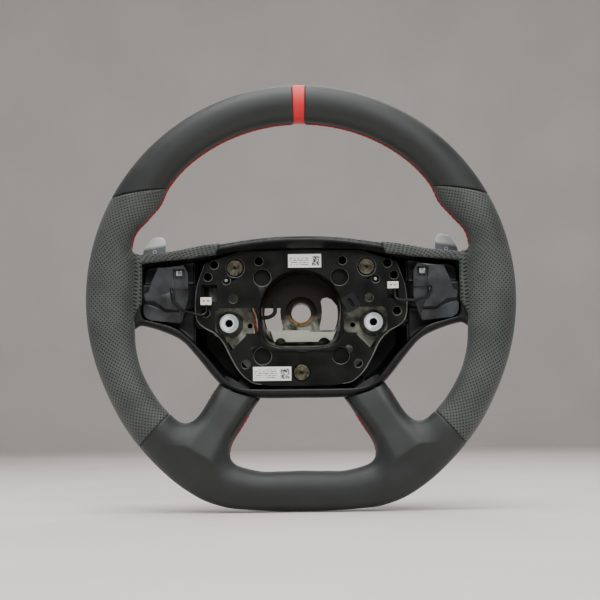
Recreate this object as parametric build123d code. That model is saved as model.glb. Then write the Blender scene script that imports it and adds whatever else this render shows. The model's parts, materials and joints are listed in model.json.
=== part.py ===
from build123d import *
import os
from math import cos, radians, sin

# A leather steering wheel with its centre module taken out, in millimetres.
# X points right, Z up, and the driver sits on the -Y side, so a smaller y is nearer the driver.
# The origin is the middle of the hub bore, on the steering axis.

# Rim
RIM_CENTRE_Z = 10.0       # the round part is centred above the steering axis
RIM_MID_Y = -58.0         # middle plane of the rim
RIM_DEPTH = 31.0
RIM_RADIUS = 190.0
LEATHER = 1.5             # leather and its glue layer
CORE_RADIUS = 5.5         # steel ring inside the foam
STRIPE_WIDTH = 10.5       # marker at twelve o'clock
UPPER_SEAM = [(-167.0, 100.3), (-117.0, 108.3)]     # outer end, inner end
LOWER_SEAM = [(-143.2, -119.0), (-117.0, -90.6)]

# Depths of the hub's layers
SHELL_FRONT = -56.0
SHELL_FLOOR = -34.0
SHELL_BACK = -31.0
PLATE_FRONT = -42.0
PLATE_BACK = -39.0
CASTING_FRONT = -20.0
CASTING_BACK = -15.0
BOSS_FRONT = -36.0
COVER_SHOULDER = -2.0
COVER_BACK = 14.0
COVER_OPENING = 34.0
WALL = 2.5

# Hub and mounts
BORE_RADIUS = 9.0
HUB_RADIUS = 14.0
HUB_HALF_LENGTH = 14.0
BOSS_X = 64.7
BOSS_Z = -10.4
BOSS_HOLE_RADIUS = 3.0

# Lower spokes: centre line from the hub end to the rim end, on the left side
SPOKE_START = (-53.3, -45.0, -67.7)
SPOKE_END = (-89.6, -59.0, -124.9)
SPOKE_WIDTHS = (38.0, 34.0)
SPOKE_DEPTH = 23.0

# Spoke bars of the casting, on the left side
SIDE_BAR = [(-66.0, -19.5, 14.0), (-96.0, -33.0, 14.0), (-112.0, -43.0, 14.0), (-150.0, -44.0, 14.0),
            (-169.5, -57.0, 14.0)]
LOWER_BAR = [(-36.0, -17.5, -48.0), (-58.0, -45.0, -75.0), (-95.0, -58.0, -133.5)]

# Spring contacts in the carrier plate
PAD_SPOTS = {"left": (-58.8, 39.0), "right": (58.8, 39.0), "bottom": (0.0, -55.2)}
PAD_RADIUS = 7.2
PAD_HOLE_RADIUS = 8.2
PAD_FLANGE_RADIUS = 8.6
PAD_STEM_RADIUS = 2.5
CUP_BACK = -27.0
CUP_FLOOR = 2.0

# Paddles: pivot line, on the left side
PIVOT_X = -92.0
PIVOT_Y = -20.0
PIN_RADIUS = 1.5
RUNNING_CLEARANCE = 0.05
LEVER_LOW = -9.8
LEVER_HIGH = 23.8
EAR_THICKNESS = 4.0
ARM_FRONT = -23.0
BLADE_FRONT = -20.0
BLADE_BACK = -17.5
BLADE_SCREWS = [(-114.0, -2.0), (-114.0, 16.0)]

# Round cups moulded into the carrier plate, on the left side
CUP_SPOTS = [(-34.6, 30.1), (-34.8, -40.1)]
CUP_DEPTH = -36.0

# Where the left thumb switch's cable leaves its holder
SWITCH_EXIT = (-114.5, 18.5)

POST_SPOTS = [(-48.0, 14.0), (48.0, 14.0), (-24.0, -57.0), (24.0, -57.0)]
COVER_SCREW_SPOTS = [(-45.0, -30.0), (45.0, -30.0), (0.0, 40.0)]
PIN_SPOTS = [(-66.8, 28.0), (66.8, 28.0)]


def rim_stations():
    """Angle from the top, outer radius and inner radius of the rim about its round centre.

    The inner side swells into a thumb rest below the upper seam, and the bottom is squared off.
    """
    return [
        (0, RIM_RADIUS, 155.6), (20, RIM_RADIUS, 155.6), (38, RIM_RADIUS, 155.2), (49, RIM_RADIUS, 153.2),
        (56, RIM_RADIUS, 149.6), (62, RIM_RADIUS, 152.4), (69, RIM_RADIUS, 157.4), (75, RIM_RADIUS, 155.0),
        (84, RIM_RADIUS, 149.5), (98, RIM_RADIUS, 149.3), (107, RIM_RADIUS, 152.2), (116, 190.4, 154.4),
        (126, 192.2, 154.6), (137, 194.0, 152.8), (147, 196.3, 154.5), (153, 197.0, 156.3),
        (159, 195.4, 157.2), (166, 191.0, 156.2), (173, 188.0, 153.0), (180, 186.7, 151.5),
    ]


def layer(outline, front, back):
    """A plate with the given front-view outline between two depths."""
    plane = Plane(origin=(0, back, 0), x_dir=(1, 0, 0), z_dir=(0, -1, 0))
    return extrude(plane * outline, amount=back - front, dir=(0, -1, 0))


def outline(points, radius=0.0):
    """A closed outline through the points, with its corners rounded when a radius is given."""
    if radius:
        return make_face(FilletPolyline(*points, radius=radius, close=True))
    return make_face(Polyline(*points, close=True))


def symmetric(half, radius=0.0):
    """An outline from its left half, listed from the top down; points on the middle line count once."""
    right = [(-x, z) for x, z in reversed(half) if x]
    return outline(half + right, radius)


def disc(spot, radius, front, back):
    """A round plate or pin along Y at a spot in the front view."""
    return layer(Pos(*spot) * Circle(radius), front, back)


def block(low, high):
    """A box between two corners."""
    size = [b - a for a, b in zip(low, high)]
    centre = [(a + b) / 2 for a, b in zip(low, high)]
    return Pos(*centre) * Box(*size)


def bar(start, end, width, depth, radius):
    """A bar of rounded rectangular section between two points; its width lies across the wheel."""
    line = Vector(*end) - Vector(*start)
    across = line.cross(Vector(0, 1, 0)).normalized()
    plane = Plane(origin=start, x_dir=across, z_dir=line)
    return extrude(plane * RectangleRounded(width, depth, radius), amount=line.length)


def bar_chain(points, width, depth, radius):
    """Bars from point to point, with a round knuckle at each bend."""
    chain = Part()
    for start, end in zip(points, points[1:]):
        chain += bar(start, end, width, depth, radius)
    for point in points[1:-1]:
        across = (Vector(*points[1]) - Vector(*points[0])).cross(Vector(0, 1, 0))
        plane = Plane(origin=point, z_dir=across)
        chain += plane * Cylinder(depth / 2, width - 2 * radius)
    return chain


def other_side(part):
    return mirror(part, about=Plane.YZ)


def both_sides(part):
    return part + other_side(part)


def tube(points, radii, wire_radius):
    """A round wire along straight runs joined by tangent arcs."""
    path = Wire(FilletPolyline(*points, radius=radii).edges())
    return sweep(Plane(origin=path @ 0, z_dir=path % 0) * Circle(wire_radius), path=path)


def coil(spot, radius, wire_radius, turns, front, back):
    """A compression spring along Y."""
    length = back - front
    path = Helix(pitch=length / turns, height=length, radius=radius)
    wire = sweep(Plane(origin=path @ 0, z_dir=path % 0) * Circle(wire_radius), path=path, is_frenet=True)
    return Pos(spot[0], back, spot[1]) * Rot(90, 0, 0) * wire


def rim_plane(angle, radius):
    """The radial plane of the rim at an angle from the top, centred at a radius."""
    a = radians(angle)
    origin = (-radius * sin(a), RIM_MID_Y, RIM_CENTRE_Z + radius * cos(a))
    return Plane(origin=origin, x_dir=(-sin(a), 0, cos(a)), z_dir=(-cos(a), 0, -sin(a)))


def loft_spans(sections):
    """A solid through the sections, in spans of four, because together they turn half a circle."""
    solid = Part()
    for first in range(0, len(sections) - 1, 4):
        solid += loft(sections[first:first + 5])
    return solid


def rim_solid(skin):
    """The rim's oval solid, with a skin of the given thickness taken off."""
    sections = []
    for angle, outer, inner in rim_stations():
        oval = Ellipse((outer - inner) / 2 - skin, RIM_DEPTH / 2 - skin)
        sections.append(rim_plane(angle, (outer + inner) / 2) * oval)
    return both_sides(loft_spans(sections))


def rim_core():
    """The steel ring that the foam is moulded around."""
    rings = [rim_plane(a, (outer + inner) / 2) * Circle(CORE_RADIUS) for a, outer, inner in rim_stations()]
    return both_sides(loft_spans(rings))


def lower_spoke(skin):
    """The left lower spoke, with a skin of the given thickness taken off its long faces."""
    start, end = Vector(*SPOKE_START), Vector(*SPOKE_END)
    along = end - start
    across = along.cross(Vector(0, 1, 0)).normalized()
    sections = []
    for point, width in zip((start, end), SPOKE_WIDTHS):
        section = RectangleRounded(width - 2 * skin, SPOKE_DEPTH - 2 * skin, 7.0 - skin)
        sections.append(Plane(origin=point, x_dir=across, z_dir=along) * section)
    return loft(sections)


def leather_regions():
    """Front-view regions that cut the rim's skin into its sewn pieces, for the left side."""
    reach = 250.0
    half_stripe = STRIPE_WIDTH / 2
    (ux, uz), (vx, vz) = UPPER_SEAM
    upper_out = (2.5 * ux - 1.5 * vx, 2.5 * uz - 1.5 * vz)
    upper_in = (2 * vx - ux, 2 * vz - uz)
    (ux, uz), (vx, vz) = LOWER_SEAM
    lower_out = (3 * ux - 2 * vx, 3 * uz - 2 * vz)
    lower_in = (2 * vx - ux, 2 * vz - uz)
    top = [(-half_stripe, reach), (-reach, reach), upper_out, upper_in, (-half_stripe, upper_in[1])]
    grip = [upper_out, upper_in, (upper_in[0], lower_in[1]), lower_in, lower_out, (-reach, lower_out[1])]
    bottom = [lower_in, lower_out, (lower_out[0], -reach)]
    stripe = [(-half_stripe, reach), (-half_stripe, 0)]
    return top, grip, bottom, stripe


def shell_outline():
    """Front view of the hub shell, from the top centre down its left side."""
    return [(0, 66), (-37, 64), (-85, 57), (-113, 51.5), (-152, 47.5), (-152, -13), (-141.4, -12.7),
            (-123.8, -17.6), (-104.8, -27), (-94, -39.2), (-77.8, -59.5), (-66, -70), (-48, -76.5), (0, -78)]


def pocket_outline():
    """Front view of the pocket that takes the centre module."""
    return [(0, 55.5), (-54, 54), (-86, 45.5), (-100, 45), (-137, 41.5), (-141.5, 5), (-140, -7),
            (-130, -9.5), (-112, -15), (-97, -26), (-83, -42), (-64, -62), (-50, -69), (0, -70)]


def plate_outline():
    """Front view of the carrier plate."""
    return [(0, 55), (-54.7, 53.4), (-86, 43.5), (-93.7, 22.9), (-95, 0.5), (-93.3, -8.5), (-87, -14.8),
            (-77, -20.2), (-69, -29), (-62.8, -41.7), (-54.7, -55.2), (-44.9, -64.1), (-27.8, -66.8), (0, -67.3)]


def cover_outline():
    """Front view of the back cover."""
    return [(0, 64), (-37, 62), (-82, 55.5), (-97.5, 51), (-97.5, -33), (-78, -57), (-65, -68),
            (-48, -74.5), (0, -76)]


def hub_shell(rim, spokes, bars):
    """The black shell around the pocket: a wall all round, and a floor in each side arm."""
    wall = layer(symmetric(shell_outline(), 4.0), SHELL_FRONT, SHELL_BACK)
    wall -= layer(symmetric(pocket_outline(), 3.0), SHELL_FRONT, SHELL_BACK)
    floor = layer(symmetric(pocket_outline(), 3.0), SHELL_FLOOR, SHELL_BACK)
    floor -= layer(offset(symmetric(plate_outline()), 0.5), SHELL_FLOOR, SHELL_BACK)
    return wall + floor - rim - spokes - bars


def back_cover():
    """The rear tub, with a column opening, paddle slots and three screw columns."""
    outer = symmetric(cover_outline(), 3.0)
    inner = offset(outer, -WALL)
    slope = 30.0
    depth = COVER_BACK - COVER_SHOULDER
    plane = Plane(origin=(0, COVER_SHOULDER, 0), x_dir=(1, 0, 0), z_dir=(0, -1, 0))
    cover = layer(outer, SHELL_BACK, COVER_SHOULDER)
    cover += extrude(plane * outer, amount=depth, dir=(0, 1, 0), taper=slope)
    cover -= layer(inner, SHELL_BACK, COVER_SHOULDER)
    cover -= extrude(plane * inner, amount=depth - WALL, dir=(0, 1, 0), taper=slope)
    cover -= disc((0, 0), COVER_OPENING, COVER_SHOULDER, COVER_BACK)
    slot = block((-100, SHELL_BACK, -12.5), (-94.5, CASTING_BACK, 26.5))
    cover -= both_sides(slot)
    for spot in COVER_SCREW_SPOTS:
        cover += disc(spot, 5.0, CASTING_BACK, COVER_BACK - WALL)
        cover -= disc(spot, 3.6, 4.0, COVER_BACK)
        cover -= disc(spot, 1.7, CASTING_BACK, 4.0)
    return cover


def hub_opening(grow):
    """The carrier plate's centre opening: round above, square with round corners below."""
    radius = 36.0 + grow
    flat = 33.0 + grow
    below = Pos(0, -flat - radius / 2) * Rectangle(2 * radius, radius)
    lower = Pos(0, -flat / 2) * RectangleRounded(69.0 + 2 * grow, flat, 13.0)
    return Circle(radius) - below + lower


def plate_holes():
    """The small round holes of the left side; the right side mirrors them."""
    return [(-37.4, 44.8), (-77.5, 42.0), (-83.2, 31.3), (-60.7, 11.4), (-85.5, -1.0), (-50.1, -47.3)]


def carrier_plate():
    """The moulded plate in the pocket, with a funnel round its opening and four posts behind."""
    plate = layer(symmetric(plate_outline(), 2.0), PLATE_FRONT, PLATE_BACK)
    ridge = layer(hub_opening(3.0), PLATE_FRONT - 1.5, PLATE_FRONT)
    plate += ridge & block((-40, -50, -40), (40, PLATE_FRONT, -12))
    plate += layer(hub_opening(1.8), PLATE_FRONT, -24.0)
    plate -= layer(hub_opening(0.0), PLATE_FRONT - 1.5, -24.0)
    for spot in POST_SPOTS:
        plate += disc(spot, 3.8, PLATE_BACK, CASTING_FRONT)
        plate -= disc(spot, 1.4, -32.0, CASTING_FRONT)
    for x, z in PAD_SPOTS.values():
        plate -= disc((x, z), PAD_HOLE_RADIUS, PLATE_FRONT, PLATE_BACK)
    cuts = Part()
    for spot in plate_holes():
        cuts += disc(spot, 3.6, PLATE_FRONT, PLATE_BACK)
    for spot in CUP_SPOTS:
        plate += both_sides(disc(spot, 8.8, PLATE_BACK, CUP_DEPTH + 1.2))
        cuts += disc(spot, 7.6, PLATE_FRONT, CUP_DEPTH)
    cuts += disc((-42.2, -34.6), 3.6, PLATE_FRONT, PLATE_BACK)
    cuts += layer(outline([(-69.5, -20), (-49.5, -20), (-49.5, -22), (-62.3, -35), (-63.6, -34.4)]), PLATE_FRONT,
                  PLATE_BACK)
    cuts += disc((-66.8, 28.0), 3.5, PLATE_FRONT, PLATE_BACK)
    cuts += layer(Pos(-62.8, 33.5) * Rot(0, 0, -54) * Rectangle(13.0, 5.0), PLATE_FRONT, PLATE_BACK)
    cuts += layer(Pos(-57.5, -8.5) * RectangleRounded(39.0, 23.0, 5.0), PLATE_FRONT, PLATE_BACK)
    plate -= both_sides(cuts)
    plate -= layer(Pos(-82.0, 16.5) * RectangleRounded(14.0, 15.0, 1.0), PLATE_FRONT, PLATE_BACK)
    plate -= layer(Pos(82.0, 14.5) * RectangleRounded(10.0, 9.0, 1.0), PLATE_FRONT, PLATE_BACK)
    return plate


def module_boss():
    """The left cone that locates and bolts the centre module, without its hole."""
    lower = Plane(origin=(-BOSS_X, CASTING_FRONT, BOSS_Z), z_dir=(0, -1, 0)) * Circle(12.0)
    upper = Plane(origin=(-BOSS_X, BOSS_FRONT, BOSS_Z), z_dir=(0, -1, 0)) * Circle(8.4)
    return loft([lower, upper])


def spoke_bars():
    """The casting's four arms to the rim ring."""
    side = bar_chain(SIDE_BAR, 18.0, 7.0, 2.0)
    lower = bar_chain(LOWER_BAR, 14.0, 7.0, 2.0)
    return both_sides(side + lower)


def cross_bar():
    """The bar screwed to the casting below the hub, with a step and two arc notches in its lower edge."""
    front = CASTING_FRONT - 8.0
    bar = layer(outline([(-27.8, -16.9), (7.4, -16.9), (7.4, -27.3), (-24.5, -27.3)], 0.6), front, CASTING_FRONT)
    bar += layer(outline([(7.4, -18.4), (31.0, -18.4), (27.0, -27.3), (7.4, -27.3)], 0.6), front + 0.8,
                 CASTING_FRONT)
    bar -= disc((-18.8, -28.2), 4.7, front, CASTING_FRONT)
    return bar - disc((20.5, -29.2), 5.6, front, CASTING_FRONT)


def hub_casting(bars, core):
    """The light-alloy centre: plate, module bosses, arms and the collars cast round the rim's ring."""
    edge = [(-30, 48), (-72, 32), (-80, 10), (-79, -20), (-66, -27), (-52, -47), (-34, -63), (-15, -63),
            (-10, -44)]
    casting = layer(symmetric(edge, 3.0), CASTING_FRONT, CASTING_BACK)
    casting += bars
    collars = Part()
    for angle in (88.0, 147.0):
        collars += rim_plane(angle, 169.0 if angle < 90 else 175.4) * Cylinder(9.0, 26.0)
    casting += both_sides(collars)
    casting += both_sides(module_boss())
    casting -= both_sides(disc((-BOSS_X, BOSS_Z), BOSS_HOLE_RADIUS, BOSS_FRONT, CASTING_BACK))
    lower = [(34.2, 0), (34.2, -6.0), (33.2, -11.0), (29.6, -16.8), (17.2, -16.8), (16.6, -13.4), (18.4, -6.0),
             (18.9, 0)]
    right_window = [(19.5, 12.4), (23.5, 13.2), (27.7, 11.4), (32.7, 5.4)] + lower + [(18.6, 5.0), (17.8, 9.5)]
    left_window = [(-33.8, 4.0)] + [(-x, z) for x, z in lower] + [(-18.6, 4.0)]
    casting -= layer(outline(right_window), CASTING_FRONT, CASTING_BACK)
    casting -= layer(outline(left_window), CASTING_FRONT, CASTING_BACK)
    small_window = Pos(-46.0, 30.0) * Circle(6.0) + Pos(-46.5, -12.0) * Circle(2.3)
    casting -= both_sides(layer(small_window, CASTING_FRONT, CASTING_BACK))
    casting -= disc((0, 0), HUB_RADIUS, CASTING_FRONT, CASTING_BACK)
    for spot in POST_SPOTS:
        casting -= disc(spot, 1.4, CASTING_FRONT, CASTING_BACK)
    for spot in COVER_SCREW_SPOTS:
        casting -= disc(spot, 1.5, CASTING_FRONT, CASTING_BACK)
    return casting - core


def hub_collar():
    """The collar behind the casting that the splined insert is pressed into."""
    return disc((0, 0), HUB_RADIUS + 4.0, CASTING_BACK, 9.0) - disc((0, 0), HUB_RADIUS, CASTING_BACK, 9.0)


def spline_hub():
    """The splined insert: fine grooves in the front half of the bore, a plain pilot behind them."""
    groove_front, groove_back, grooves = -HUB_HALF_LENGTH, -4.0, 36
    hub = disc((0, 0), HUB_RADIUS, -HUB_HALF_LENGTH, HUB_HALF_LENGTH)
    hub -= disc((0, 0), BORE_RADIUS, -HUB_HALF_LENGTH, HUB_HALF_LENGTH)
    star = Sketch()
    for number in range(grooves):
        star += Rot(0, 0, number * 360 / grooves) * Pos(BORE_RADIUS, 0) * Rectangle(1.4, 0.7)
    return hub - layer(star, groove_front, groove_back)


def contact_pad(spot):
    """A pad with a flange that stops behind the plate, and a stem that guides it."""
    pad = disc(spot, PAD_RADIUS, PLATE_FRONT - 0.5, PLATE_BACK + 0.1)
    pad += disc(spot, PAD_FLANGE_RADIUS, PLATE_BACK + 0.1, PLATE_BACK + 1.5)
    return pad + disc(spot, PAD_STEM_RADIUS, PLATE_BACK + 1.5, CUP_BACK + 0.5)


def pad_cup(spot):
    """The cup behind a pad: it holds the spring and guides the stem."""
    cup = disc(spot, PAD_FLANGE_RADIUS + 1.8, PLATE_BACK, CUP_BACK)
    cup -= disc(spot, PAD_FLANGE_RADIUS + 0.5, PLATE_BACK, CUP_BACK - CUP_FLOOR)
    return cup - disc(spot, PAD_STEM_RADIUS + RUNNING_CLEARANCE, CUP_BACK - CUP_FLOOR, CUP_BACK)


def contact_spring(spot):
    return coil(spot, 4.5, 0.45, 4, PLATE_BACK + 2.1, CUP_BACK - CUP_FLOOR - 0.6)


def switch_bracket():
    """The left holder of a thumb switch: a raised face, a lower tongue, a recess, a cable boss and legs."""
    front, back = -56.0, -48.0
    face = [(-126.5, 38.5), (-114, 38.5), (-112, 24), (-112, 12), (-108, 1.5), (-119.8, 1.8), (-129, 8.8),
            (-137.8, 9.6), (-138.7, 15.0), (-134.6, 17.5), (-132, 26.5)]
    tongue = [(-139.6, 4.9), (-138.2, 6.6), (-133.3, 5.8), (-126, 2.6), (-119.7, -1), (-107.1, -1),
              (-105.8, -5.9), (-107.1, -10.5), (-119.7, -9.3), (-133.3, -7.8), (-137.8, -5.3),
              (-139.6, -1.4)]
    body = [(-126, 38.5), (-104, 41), (-100, 34), (-100, 12), (-106, -9), (-120, -8.5), (-134, -7),
            (-138, 8), (-133, 17)]
    holder = layer(outline(body), back - 2.5, back)
    holder += layer(outline(face), front, back) + layer(outline(tongue), front + 2.0, back)
    holder += layer(outline([(-114, 38.5), (-104, 41), (-100, 34), (-100, 20), (-112, 20)]), front + 3.0, back)
    holder -= layer(Pos(-108.0, 33.0) * RectangleRounded(10.0, 9.0, 1.5), front, back - 1.5)
    holder -= disc(SWITCH_EXIT, 1.6, front, back - 2.5)
    for spot in [(-120.0, -1.0), (-120.0, 34.0)]:
        holder += disc(spot, 3.5, back, SHELL_FLOOR)
    return holder


def switch_clip():
    """The small spring clip in the left holder's recess."""
    clip = block((-110.5, -52.5, 31.5), (-105.5, -49.5, 36.0))
    return clip - block((-109.0, -52.5, 31.5), (-107.0, -50.5, 36.0))


def plug(low, high):
    """A two-pin plug on the plate: a body with two pin holes in its front."""
    front = PLATE_FRONT - 5.5
    body = block((low[0], front, low[1]), (high[0], PLATE_FRONT, high[1]))
    middle = (low[1] + high[1]) / 2
    for x in (low[0] + 3.0, high[0] - 3.0):
        body -= disc((x, middle), 0.9, front, front + 3.0)
    return body


def left_cable():
    x, z = SWITCH_EXIT
    route = [(x, -50.5, z), (x, -60.0, z), (-112.0, -58.8, 8.0), (-105.5, -56.0, 1.0), (-97.0, -48.5, -1.8),
             (-84.6, -44.5, -4.0), (-84.6, -44.5, 5.8)]
    return tube(route, [3.5, 6.0, 6.0, 6.0, 4.5], 1.3)


def right_cable():
    x, z = SWITCH_EXIT
    route = [(-x, -50.5, z), (-x, -60.0, z), (112.5, -58.5, 10.5), (101.0, -52.0, 7.5), (84.0, -44.5, 8.5),
             (84.0, -44.5, 18.8)]
    return tube(route, [3.5, 5.0, 6.0, 4.5], 1.3)


def harness_wires():
    """Three wires from the upper contact to the horn module, seen through the plate's window."""
    wires = Part()
    for number in range(3):
        x = -43.2 + 1.9 * number
        y = -29.5 + 0.8 * number
        route = [(x - 5.0, y, 31.0), (x, y, 17.0), (x + 0.6, y, -4.0), (x + 0.6, y, -25.0),
                 (-30.0, y, -42.5 + 2.5 * number)]
        wires += tube(route, [12.0, 60.0, 14.0], 0.8)
    return wires


def horn_module():
    """The small electronics box on the casting."""
    return block((-29, -33, -45), (-11, CASTING_FRONT, -36))


def cable_clip():
    """The square tie mount on the plate, turned by thirty degrees, with a slot for a tie."""
    plate = Pos(44.4, 6.7) * Rot(0, 0, 30) * (RectangleRounded(14.0, 14.0, 1.5) - Rectangle(3.0, 8.0))
    return layer(plate, PLATE_FRONT - 2.5, PLATE_FRONT)


def cable_hook():
    """The hooked cable guide beside the hub."""
    hook = outline([(-26.6, 8.6), (-24.9, 9.8), (-22.6, 8.4), (-21.6, 4.0), (-22.0, -0.6), (-24.5, -4.0),
                    (-29.0, -6.2), (-37.5, -7.0), (-37.5, -3.2), (-29.5, -2.8), (-26.3, -1.0), (-25.3, 1.2),
                    (-25.4, 4.0)])
    return layer(hook, CASTING_FRONT - 3.5, CASTING_FRONT)


def data_label(low, high):
    return block((low[0], PLATE_FRONT - 0.3, low[1]), (high[0], PLATE_FRONT, high[1]))


def paddle_blade():
    """The left shift paddle: a flat lobe behind the side spoke."""
    shape = outline([(-143.6, 52), (-142.4, 58), (-139.4, 63.4), (-134.9, 67.9), (-128.5, 69.8), (-124.2, 68.6),
                     (-122.5, 65.5), (-122.8, 57), (-118, 40), (-108, 26), (-107, -12), (-122, -14),
                     (-136, 8)], 1.0)
    blade = layer(shape, BLADE_FRONT, BLADE_BACK)
    for spot in BLADE_SCREWS:
        blade -= disc(spot, 1.7, BLADE_FRONT, BLADE_BACK)
    return blade


def paddle_lever():
    """The left lever: a hub on the pin, an arm under the blade and a tail for the spring and switch."""
    hub = Pos(PIVOT_X, PIVOT_Y, (LEVER_LOW + LEVER_HIGH) / 2) * Cylinder(4.0, LEVER_HIGH - LEVER_LOW)
    arm = block((-122, ARM_FRONT, -8), (PIVOT_X, BLADE_FRONT, 22))
    tail = block((PIVOT_X, -21, -9), (-80.5, -19, 3))
    lever = hub + arm + tail
    lever -= Pos(PIVOT_X, PIVOT_Y, 0) * Cylinder(PIN_RADIUS + RUNNING_CLEARANCE, 100)
    for spot in BLADE_SCREWS:
        lever -= disc(spot, 1.4, ARM_FRONT, BLADE_FRONT)
    return lever


def paddle_pin():
    low, high = LEVER_LOW - EAR_THICKNESS - 0.2, LEVER_HIGH + EAR_THICKNESS + 0.2
    return Pos(PIVOT_X, PIVOT_Y, (low + high) / 2) * Cylinder(PIN_RADIUS, high - low)


def paddle_bracket():
    """The left bracket: a foot behind the casting and two ears that hold the pin."""
    back = CASTING_BACK + 3.0
    bracket = block((-94, CASTING_BACK, -14), (-62, back, 28))
    bracket += block((-94.8, ARM_FRONT, LEVER_HIGH + 0.2), (-88, back, LEVER_HIGH + 0.2 + EAR_THICKNESS))
    bracket += block((-94.8, ARM_FRONT, LEVER_LOW - 0.2 - EAR_THICKNESS), (-88, back, LEVER_LOW - 0.2))
    return bracket - Pos(PIVOT_X, PIVOT_Y, 0) * Cylinder(PIN_RADIUS, 100)


def paddle_spring():
    return coil((-83.0, 0.0), 1.8, 0.25, 4, -18.7, CASTING_BACK - 0.3)


def paddle_switch():
    """The left push switch on the bracket's foot."""
    switch = block((-89, -17.0, -8.5), (-80.5, CASTING_BACK, -4.5))
    return switch + disc((-82.5, -6.5), 0.8, -17.6, -17.0)


def paddle_screws():
    """The two screws that hold the left blade on its lever."""
    screws = Part()
    for spot in BLADE_SCREWS:
        screws += disc(spot, 2.8, BLADE_BACK, BLADE_BACK + 1.5) + disc(spot, 1.4, ARM_FRONT, BLADE_BACK)
    return screws


def carrier_screws():
    """Four screws from behind the casting into the plate's posts."""
    screws = Part()
    for spot in POST_SPOTS:
        screws += disc(spot, 2.8, CASTING_BACK, CASTING_BACK + 2.0) + disc(spot, 1.4, -30.0, CASTING_BACK)
    return screws


def back_cover_screws():
    screws = Part()
    for spot in COVER_SCREW_SPOTS:
        screws += disc(spot, 3.2, 4.0, 7.0) + disc(spot, 1.5, CASTING_FRONT, 4.0)
    return screws


def retaining_pins():
    """Two pins on the casting that the module's spring wires lock onto."""
    pins = Part()
    for spot in PIN_SPOTS:
        pins += disc(spot, 1.4, -40.5, CASTING_FRONT)
    return pins


def spoke_wrap():
    """The left strip of grip leather over the shell's upper edge."""
    top = layer(outline([(-73, 59.2), (-85, 57.2), (-113, 51.7), (-146, 48.4), (-146, 49.9), (-113, 53.2),
                         (-85, 58.7), (-73, 60.7)]), SHELL_FRONT - LEATHER, SHELL_BACK)
    front = layer(outline([(-73, 60.7), (-78.5, 51.5), (-100, 46.5), (-137, 43), (-146, 43), (-146, 49.9),
                           (-113, 53.2), (-85, 58.7)]), SHELL_FRONT - LEATHER, SHELL_FRONT)
    return top + front


def build_parts():
    """Every node of the wheel, by name."""
    skin, foam, core = rim_solid(0.0), rim_solid(LEATHER), rim_core()
    bars = spoke_bars()
    spoke, spoke_foam = lower_spoke(0.0), lower_spoke(LEATHER)
    casting = hub_casting(bars, core)
    shell = hub_shell(skin, both_sides(spoke), bars)
    parts = {
        "rim_core": core,
        "hub_casting": casting,
        "hub_cross_bar": cross_bar(),
        "hub_collar": hub_collar(),
        "spline_hub": spline_hub(),
        "rim_foam": foam + both_sides(spoke_foam) - core - casting,
        "hub_shell": shell,
        "back_cover": back_cover(),
        "carrier_plate": carrier_plate(),
        "harness_wires": harness_wires(),
        "horn_module": horn_module(),
        "cable_clip": cable_clip(),
        "cable_hook": cable_hook(),
        "label_upper": data_label((-11.2, 38.6), (18.4, 50.7)),
        "label_lower": data_label((-43.5, -62.3), (-9.4, -49.8)),
        "carrier_screws": carrier_screws(),
        "back_cover_screws": back_cover_screws(),
        "retaining_pins": retaining_pins(),
        "switch_plug_left": plug((-89.5, 5.8), (-79.8, 12.6)),
        "switch_plug_right": plug((77.2, 18.8), (87.0, 24.8)),
        "switch_cable_left": left_cable(),
        "switch_cable_right": right_cable(),
    }
    leather = skin - foam
    top, grip, bottom, stripe = leather_regions()
    parts["centre_stripe"] = leather & layer(symmetric(stripe), -80, -35)
    parts["leather_bottom"] = (leather & layer(symmetric(bottom), -80, -35)) - both_sides(spoke)
    sided = {
        "leather_top": leather & layer(outline(top), -80, -35),
        "leather_grip": (leather & layer(outline(grip), -80, -35)) - bars,
        "lower_spoke_wrap": spoke - spoke_foam - skin - bars,
        "spoke_wrap": spoke_wrap() - skin,
        "switch_bracket": switch_bracket(),
        "switch_clip": switch_clip(),
        "paddle_blade": paddle_blade(),
        "paddle_lever": paddle_lever(),
        "paddle_pin": paddle_pin(),
        "paddle_bracket": paddle_bracket(),
        "paddle_spring": paddle_spring(),
        "paddle_switch": paddle_switch(),
        "paddle_screws": paddle_screws(),
    }
    for name, part in sided.items():
        parts[name + "_left"] = part
        parts[name + "_right"] = other_side(part)
    for name, spot in PAD_SPOTS.items():
        parts["contact_pad_" + name] = contact_pad(spot)
        parts["pad_cup_" + name] = pad_cup(spot)
        parts["contact_spring_" + name] = contact_spring(spot)
    return parts


os.makedirs("parts", exist_ok=True)
for node, part in build_parts().items():
    export_step(part, f"parts/{node}.step")
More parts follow.
